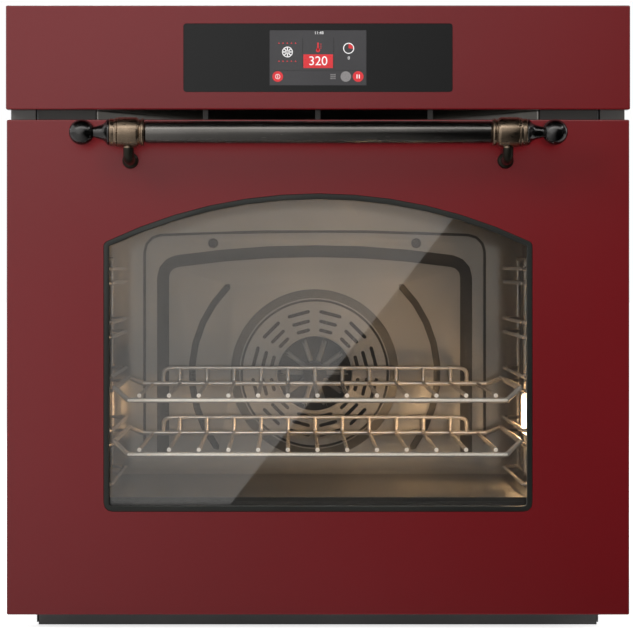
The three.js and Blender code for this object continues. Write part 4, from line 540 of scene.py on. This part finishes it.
ball_centre, ball_radius, collar_radius = 222.6, 12.1, 0.0141
stem_x, stem_foot_z = 0.1786, 0.4460
ball = [(ball_centre - ball_radius * cos(radians(a)), ball_radius * sin(radians(a)))
        for a in range(25, 180, 7)]
for side, place in ((1, "right"), (-1, "left")):
    collar = [(163.8, 0), (163.8, 11.2), (164.3, 12.3), (165.5, 12.9), (166.7, 12.4), (167.3, 11.5),
              (168.2, 11.5), (168.8, 12.3), (171.0, 13.9), (171.8, 14), (188.0, 14), (188.6, 13.8),
              (189.2, 13.1), (189.8, 13.5), (190.6, 13.5), (191.4, 12.9), (192.6, 12.4), (194.0, 12.7),
              (195.8, 12.7), (196.4, 12.2), (196.4, 0)]
    stem = [(side * stem_x, handle_y, 0.4700), (side * stem_x, handle_y, stem_foot_z),
            (side * stem_x, -0.2945, stem_foot_z)]
    foot = [(-6.4, 0), (-6.4, 4.0), (-5.8, 6.1), (-4.5, 7.3), (-3.0, 7.7), (-1.2, 7.5), (-0.3, 7.0),
            (-0.3, 0)]
    parts = [turned("collar", [(side * x, r) for x, r in collar], "X", handle_axis),
             rods("stem", [stem], 0.0049, bend=0.014, sides=8),
             turned("foot", foot, "Y", (side * stem_x, -0.292, stem_foot_z), 32)]
    mount = settle(joined("handle_mount_" + place, parts), brass, "door", "handle_bracket_" + place)
    mount.data.materials.append(dark_bronze)
    for face in mount.data.polygons:
        face.material_index = 1 if face.center.z < handle_axis.z - collar_radius else 0
    trumpet = [(196.8, 0), (196.8, 12.0), (197.4, 12.4), (198.4, 12.1), (199.4, 10.8), (201.2, 8.6),
               (204.0, 7.0), (207.6, 6.0), (210.6, 5.1), *ball, (234.75, 0)]
    settle(turned("handle_ball_" + place, [(side * x, r) for x, r in trumpet], "X", handle_axis),
           dark_metal, "door", "handle_finial_" + place)

# Oven cavity. A grey enamelled tunnel of sheet steel; its pressed rear wall has a thin outline, a broad
# groove drawn dark with painted shade, two arcs beside the fan, and two round plugs high up.
enamel = finish("grey speckled enamel", (0.075, 0.072, 0.067), (0.105, 0.101, 0.094), (0.22, 0.32), cloud=9.0,
                grain=1800.0, relief=0.00002, Coat_Weight=0.2, Coat_Roughness=0.12)
wall_enamel = finish("rear wall enamel", (0.235, 0.230, 0.222), (0.290, 0.284, 0.275), (0.28, 0.38),
                     cloud=9.0, grain=1800.0, relief=0.00002)
# A much darker copy of the wall enamel: painted shade for the grooves and the cover's groove line, also used
# on the plugs.
painted_shade_enamel = finish("dark enamel with painted shade", (0.030, 0.029, 0.027), (0.042, 0.040, 0.037), (0.40, 0.50),
                       cloud=9.0, grain=1800.0, relief=0.00002)
clothe(enamel, "cavity_shell")
wall = softened("cavity_back", 0.0006, 2, wall_enamel, "chassis", angle=50, as_name="rear_wall")
wall.data.materials.append(painted_shade_enamel)
fan_height = 0.2297
fan_centre = Vector((0, 0.1747, fan_height))

# The arcs are drawn a little further out from the fan than in the solid, and the grooves' faces get a dark
# enamel as painted shade.
arc_inner, arc_outer, arc_shift = 0.105, 0.1335, 0.045
for vertex in wall.data.vertices:
    out = Vector((vertex.co.x, 0, vertex.co.z - fan_height))
    if arc_inner < out.length < arc_outer and abs(out.x) > 0.07:
        vertex.co += out * arc_shift
groove_top, groove_bed = 0.1753, 0.1768
for face in wall.data.polygons:
    if groove_top < face.center.y < groove_bed and face.normal.y < -0.3:
        face.material_index = 1
plug = [(-1.6, 0), (-1.6, 1.6), (-1.3, 2.0), (-2.4, 2.6), (-2.6, 3.6), (-2.2, 4.8), (-1.0, 5.4), (-0.1, 5.4),
        (-0.1, 0)]
# The plugs take the same dark enamel that paints shade into the grooves.
for side, place in ((1, "right"), (-1, "left")):
    stopper = turned("wall_plug_" + place, plug, "Y", (side * 0.1095, 0.175, 0.370), 32)
    settle(stopper, painted_shade_enamel, "chassis")

# Fan cover. A pressed disc of enamelled sheet screwed over the fan well: a sloping rim, a raised bead,
# twelve sectors of three round-ended slots, and an eye in the middle.
rim_profile = [(-1.9, 40.0), (-2.4, 40.6), (-2.5, 41.5), (-1.7, 43.0), (-1.7, 77.5), (-1.1, 78.0),
               (-1.1, 79.4), (-2.5, 80.0), (-2.5, 81.2), (-0.5, 90.2), (0, 90.6), (0, 40.0), (-1.9, 40.0)]
cover = turned("fan_grille", rim_profile, "Y", fan_centre, 144)
slot_half, slot_front, slot_rear = 1.9, -0.008, 0.004
points, faces = [], []
for sector in range(12):
    angle = 2 * pi * (sector + 0.5) / 12
    turn = angle + pi / 2
    for radius, length in ((66, 25), (56, 20), (46.7, 15)):
        reach = (length - 4) / 2
        outline = [(x + slot_half * cos(radians(start + 22.5 * i)),
                    slot_half * sin(radians(start + 22.5 * i)))
                   for x, start in ((reach, -90), (-reach, 90)) for i in range(9)]
        flat = [(radius * cos(angle) + u * cos(turn) - v * sin(turn),
                 radius * sin(angle) + u * sin(turn) + v * cos(turn)) for u, v in outline]
        base, count = len(points), len(flat)
        for depth in (slot_front, slot_rear):
            points += [(x / 1000, fan_centre.y + depth, fan_centre.z + z / 1000) for x, z in flat]
        faces.append(tuple(base + i for i in range(count)))
        faces.append(tuple(base + count + i for i in reversed(range(count))))
        faces += [(base + i, base + count + i, base + count + (i + 1) % count, base + (i + 1) % count)
                  for i in range(count)]
mesh = bpy.data.meshes.new("slot_punches")
mesh.from_pydata(points, [], faces)
punches = bpy.data.objects.new("slot_punches", mesh)
bpy.context.collection.objects.link(punches)
bpy.ops.object.select_all(action="DESELECT")
punches.select_set(True)
bpy.context.view_layer.objects.active = punches
bpy.ops.object.mode_set(mode="EDIT")
bpy.ops.mesh.select_all(action="SELECT")
bpy.ops.mesh.normals_make_consistent(inside=False)
bpy.ops.object.mode_set(mode="OBJECT")
bpy.context.view_layer.objects.active = cover
punch = cover.modifiers.new("slots", "BOOLEAN")
punch.object, punch.operation, punch.solver = punches, "DIFFERENCE", "EXACT"
bpy.ops.object.modifier_apply(modifier=punch.name)
bpy.data.objects.remove(punches)
cover_enamel = finish("fan cover enamel", (0.240, 0.236, 0.228), (0.300, 0.294, 0.284), (0.28, 0.38),
                      cloud=12.0, grain=1800.0, relief=0.00002)
settle(cover, cover_enamel, "chassis", "fan_cover")
# The sloping rim is drawn dark as painted shade, and the groove line inside the raised bead gets the
# painted-shade enamel.
cover_slope_shade_enamel = finish("cover slope enamel with painted shade", (0.085, 0.080, 0.072), (0.110, 0.104, 0.094), (0.40, 0.50))
cover.data.materials.append(cover_slope_shade_enamel)
cover.data.materials.append(painted_shade_enamel)
shade_slope_from, shade_line_from, shade_line_to = 0.0815, 0.0776, 0.0798
for face in cover.data.polygons:
    radius = Vector((face.center.x, 0, face.center.z - fan_centre.z)).length
    face.material_index = 1 if radius > shade_slope_from else 2 if shade_line_from < radius < shade_line_to else 0
wheel_steel = finish("fan wheel steel", (0.055, 0.052, 0.048), (0.075, 0.071, 0.065), (0.35, 0.45), 0.4,
                     cloud=40.0, grain=300.0)
clothe(wheel_steel, "fan_impeller", "fan_nut", "fan_shaft")

# Fan wheel. Ten pressed ribs stiffen its disc; they show in the cover's eye and turn with the convection fan.
# Their steel is drawn much lighter than the wheel's, a painted highlight.
ribs = []
for i in range(10):
    bpy.ops.object.select_all(action="DESELECT")
    bpy.ops.mesh.primitive_cube_add(size=1, location=(0.0245, 0.2066, 0), scale=(0.024, 0.003, 0.0052))
    rib = bpy.context.object
    bpy.ops.object.transform_apply(location=True, rotation=False, scale=True)
    edge = rib.modifiers.new("rolled", "BEVEL")
    edge.width, edge.segments = 0.0012, 2
    bpy.ops.object.modifier_apply(modifier=edge.name)
    rib.rotation_euler[1] = 2 * pi * i / 10
    rib.location = (fan_centre.x, 0, fan_centre.z)
    bpy.ops.object.transform_apply(location=True, rotation=True, scale=False)
    ribs.append(rib)
rib_highlight_steel = finish("rib steel with painted highlight", (0.20, 0.195, 0.185), (0.27, 0.26, 0.25), (0.35, 0.45), 0.3,
                   cloud=40.0)
settle(joined("fan_wheel_ribs", ribs), rib_highlight_steel, "convection_fan")

# Fan well and heating elements. A dark enamelled bowl holds the wheel; tubular elements with a dull
# sheath lie round the wheel, below the roof and under the floor.
clothe(finish("fan well enamel", (0.030, 0.029, 0.027), (0.045, 0.043, 0.040), (0.35, 0.45)), "fan_well")
clothe(finish("heating element sheath", (0.085, 0.078, 0.070), (0.14, 0.125, 0.11), (0.35, 0.5), 0.7,
              cloud=60.0), "ring_element", "grill_element", "bottom_element")

# Side ladders. Chromed wire welded to three posts at each side: pairs of rods at four levels, which
# the shelves slide between, with pegs into the walls.
chrome = finish("bright chrome wire", (0.88, 0.84, 0.79), (0.96, 0.92, 0.87), (0.12, 0.20), 0.7, cloud=30.0,
                grain=700.0)
front, middle, rear = -0.228, -0.008, 0.116
foot, head = 0.133, 0.3522
for side, place in ((1, "right"), (-1, "left")):
    inner, outer, in_wall = side * 0.200, side * 0.216, side * 0.2216
    levels = [z / 1000 + lift for z in (171.5, 224, 276.5, 329) for lift in (0, 0.014)] + [foot]
    rungs = [[(outer, front, z), (inner, -0.212, z), (inner, 0.100, z), (outer, rear, z)] for z in levels]
    frame_rods = [[(outer, front, z), (outer, rear, z)] for z in (foot, head)]
    posts = [[(outer, y, 0.1306), (outer, y, 0.353)] for y in (front, middle, rear)]
    pegs = [[(outer - side * 0.0025, y, z), (in_wall, y, z)] for y in (front, rear) for z in (0.1715, head)]
    parts = [rods("rungs", rungs + frame_rods, 0.002, bend=0.008), rods("posts", posts, 0.0025),
             rods("pegs", pegs, 0.003)]
    settle(joined("side_ladder_" + place, parts), chrome, "chassis", "ladder_" + place)

# Wire shelves. A chromed frame whose side rails sit on the ladders; the front and rear bars hang lower
# at bent corners, thirteen rods cross them, and a low bar stands up at the rear.
rod_end = finish("ground rod end", (0.86, 0.84, 0.81), (0.94, 0.92, 0.89), (0.4, 0.5), 0.1, cloud=60.0)
x, front, rear, corner, back_x = 0.1973, -0.232, 0.114, 0.014, 0.161
frame_radius, rod_radius, rod_step = 0.0025, 0.0021, 0.02875
for name, body in (("shelf_upper", "upper_shelf"), ("shelf_lower", "lower_shelf")):
    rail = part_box(name)[1].z - rod_radius * 0.7071 - 0.0096
    bar_z, rod_z, low_z, back_z = rail - 0.012, rail - 0.0073, rail - 0.0068, rail + 0.0096
    loop = [(0, front, bar_z), (x - corner, front, bar_z), (x, front + corner, rail),
            (x, rear - corner, rail), (x - corner, rear, low_z), (-x + corner, rear, low_z),
            (-x, rear - corner, rail), (-x, front + corner, rail), (-x + corner, front, bar_z),
            (0, front, bar_z)]
    back = [(-back_x, rear, low_z), (-back_x, rear, back_z), (back_x, rear, back_z), (back_x, rear, low_z)]
    crossing = []
    for i in range(13):
        place = (i - 6) * rod_step
        rod = [(place, front - 0.0022, rod_z), (place, rear - 0.0042, rod_z)]
        crossing.append(rod + [(place, rear - 0.0042, back_z)] if abs(place) < back_x else rod)
    parts = [rods("frame", [loop], frame_radius, bend=0.002, sides=5),
             rods("back", [back], rod_radius, bend=0.009), rods("rods", crossing, rod_radius, bend=0.006)]
    wires = settle(joined(name + "_wires", parts), chrome, body, name)
    wires.data.materials.append(rod_end)
    for face in wires.data.polygons:
        if face.normal.y < -0.9 and face.center.y < front - 0.0018:
            face.material_index = 1

# Lamp. A bulb behind a frosted glass cover on a wall plate, low on the right wall; it is lit and throws a
# warm glow on the floor and the ladder.
lamp_glass = finish("lit lamp glass", (0.90, 0.88, 0.80), (0.96, 0.94, 0.88), (0.15, 0.30), cloud=50.0,
                    Emission_Color=(1.0, 0.93, 0.80, 1), Emission_Strength=1.6)
lamp_frame = finish("lamp frame", (0.42, 0.40, 0.36), (0.52, 0.50, 0.46), (0.35, 0.45), 0.3, cloud=40.0)


def block(low, high, taper, rolled):
    """A block with its inner side drawn in and its edges rolled."""
    bpy.ops.object.select_all(action="DESELECT")
    low, high = Vector(low), Vector(high)
    bpy.ops.mesh.primitive_cube_add(size=1, location=(low + high) / 2, scale=high - low)
    piece = bpy.context.object
    bpy.ops.object.transform_apply(location=True, rotation=False, scale=True)
    middle = (low + high) / 2
    for vertex in piece.data.vertices:
        if vertex.co.x < middle.x:
            vertex.co.y += taper if vertex.co.y < middle.y else -taper
            vertex.co.z += taper if vertex.co.z < middle.z else -taper
    edge = piece.modifiers.new("rolled", "BEVEL")
    edge.width, edge.segments = rolled, 3
    bpy.ops.object.modifier_apply(modifier=edge.name)
    bpy.ops.object.shade_smooth_by_angle(angle=radians(40))
    return piece


glass = settle(block((0.2102, -0.119, 0.1742), (0.2195, -0.033, 0.2162), 0.0010, 0.0010), lamp_glass,
               "chassis", "lamp_cover")
glass.name = "lamp_glass"
plate = settle(block((0.2193, -0.120, 0.148), (0.2217, -0.032, 0.220), 0.0008, 0.0008), lamp_frame, "chassis")
plate.name = "lamp_plate"
bpy.ops.object.light_add(type="AREA", location=(0.2095, -0.076, 0.195))
bulb_light = bpy.context.object
bulb_light.name = "oven_lamp"
bulb_light.rotation_euler = (0, radians(90), 0)
bulb_light.data.shape, bulb_light.data.size, bulb_light.data.size_y = "RECTANGLE", 0.036, 0.07
bulb_light.data.energy, bulb_light.data.color = 1.3, (1.0, 0.62, 0.30)
bulb_light.visible_camera = False

# Oven front inside. A silicone seal round the mouth, a lamp socket, a temperature sensor and the tube of
# the steam outlet.
clothe(finish("black silicone rubber", (0.012, 0.012, 0.012), (0.026, 0.025, 0.024), (0.55, 0.75), cloud=25.0,
              grain=900.0), "door_seal")
clothe(finish("socket ceramic", (0.52, 0.50, 0.45), (0.66, 0.63, 0.57), (0.45, 0.6), cloud=40.0),
       "lamp_holder")
clothe(finish("sensor and tube steel", (0.30, 0.29, 0.27), (0.45, 0.43, 0.40), (0.25, 0.4), 1.0, cloud=60.0),
       "temperature_sensor", "steam_outlet")

# Door inside. Folded zinc side channels and top profile, a dark bottom profile, moulded pane holders,
# and two steel hinge arms that hook into their receivers.
folded = finish("folded zinc sheet", (0.36, 0.37, 0.38), (0.52, 0.53, 0.54), (0.30, 0.46), 0.9, cloud=18.0,
                grain=260.0, relief=0.00003)
clothe(folded, "door_frame")
clothe(finish("dark door profile", (0.020, 0.020, 0.021), (0.034, 0.034, 0.035), (0.34, 0.46), cloud=20.0,
              grain=800.0), "door_bottom_profile")
clothe(finish("heat-proof plastic", (0.016, 0.016, 0.017), (0.030, 0.030, 0.031), (0.42, 0.58), cloud=20.0,
              grain=900.0), "pane_holder_right", "pane_holder_left", "display_carrier", "blower_wheel",
       "blower_housing", "terminal_box")
hinge_steel = finish("stamped hinge steel", (0.30, 0.30, 0.29), (0.44, 0.43, 0.42), (0.28, 0.44), 1.0,
                     cloud=35.0, grain=400.0, relief=0.00002)
clothe(hinge_steel, "hinge_arm_right", "hinge_arm_left", "hinge_hook_right", "hinge_hook_left")

# Casing. Spangled zinc-coated sheet, folded and joined with self-tapping screws; mineral wool packs the
# space round the cavity.
clothe(zinc, "side_panel_right", "side_panel_left", "top_panel", "base_plate", "back_panel",
       "panel_bracket")
clothe(finish("mineral wool", (0.42, 0.38, 0.28), (0.66, 0.61, 0.48), (0.85, 0.95), cloud=22.0, grain=420.0,
              relief=0.0004), "insulation")

# Cooling and control. A motor turns the wheel in its moulded scroll, two circuit boards work the oven, and
# a motor at the rear turns the convection fan.
clothe(finish("motor laminations", (0.10, 0.10, 0.11), (0.22, 0.22, 0.23), (0.35, 0.5), 0.8, cloud=60.0,
              grain=500.0), "blower_motor", "fan_motor")
clothe(finish("green circuit board", (0.008, 0.085, 0.030), (0.020, 0.16, 0.06), (0.25, 0.4), cloud=120.0,
              grain=900.0), "control_board", "power_board")

low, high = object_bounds()
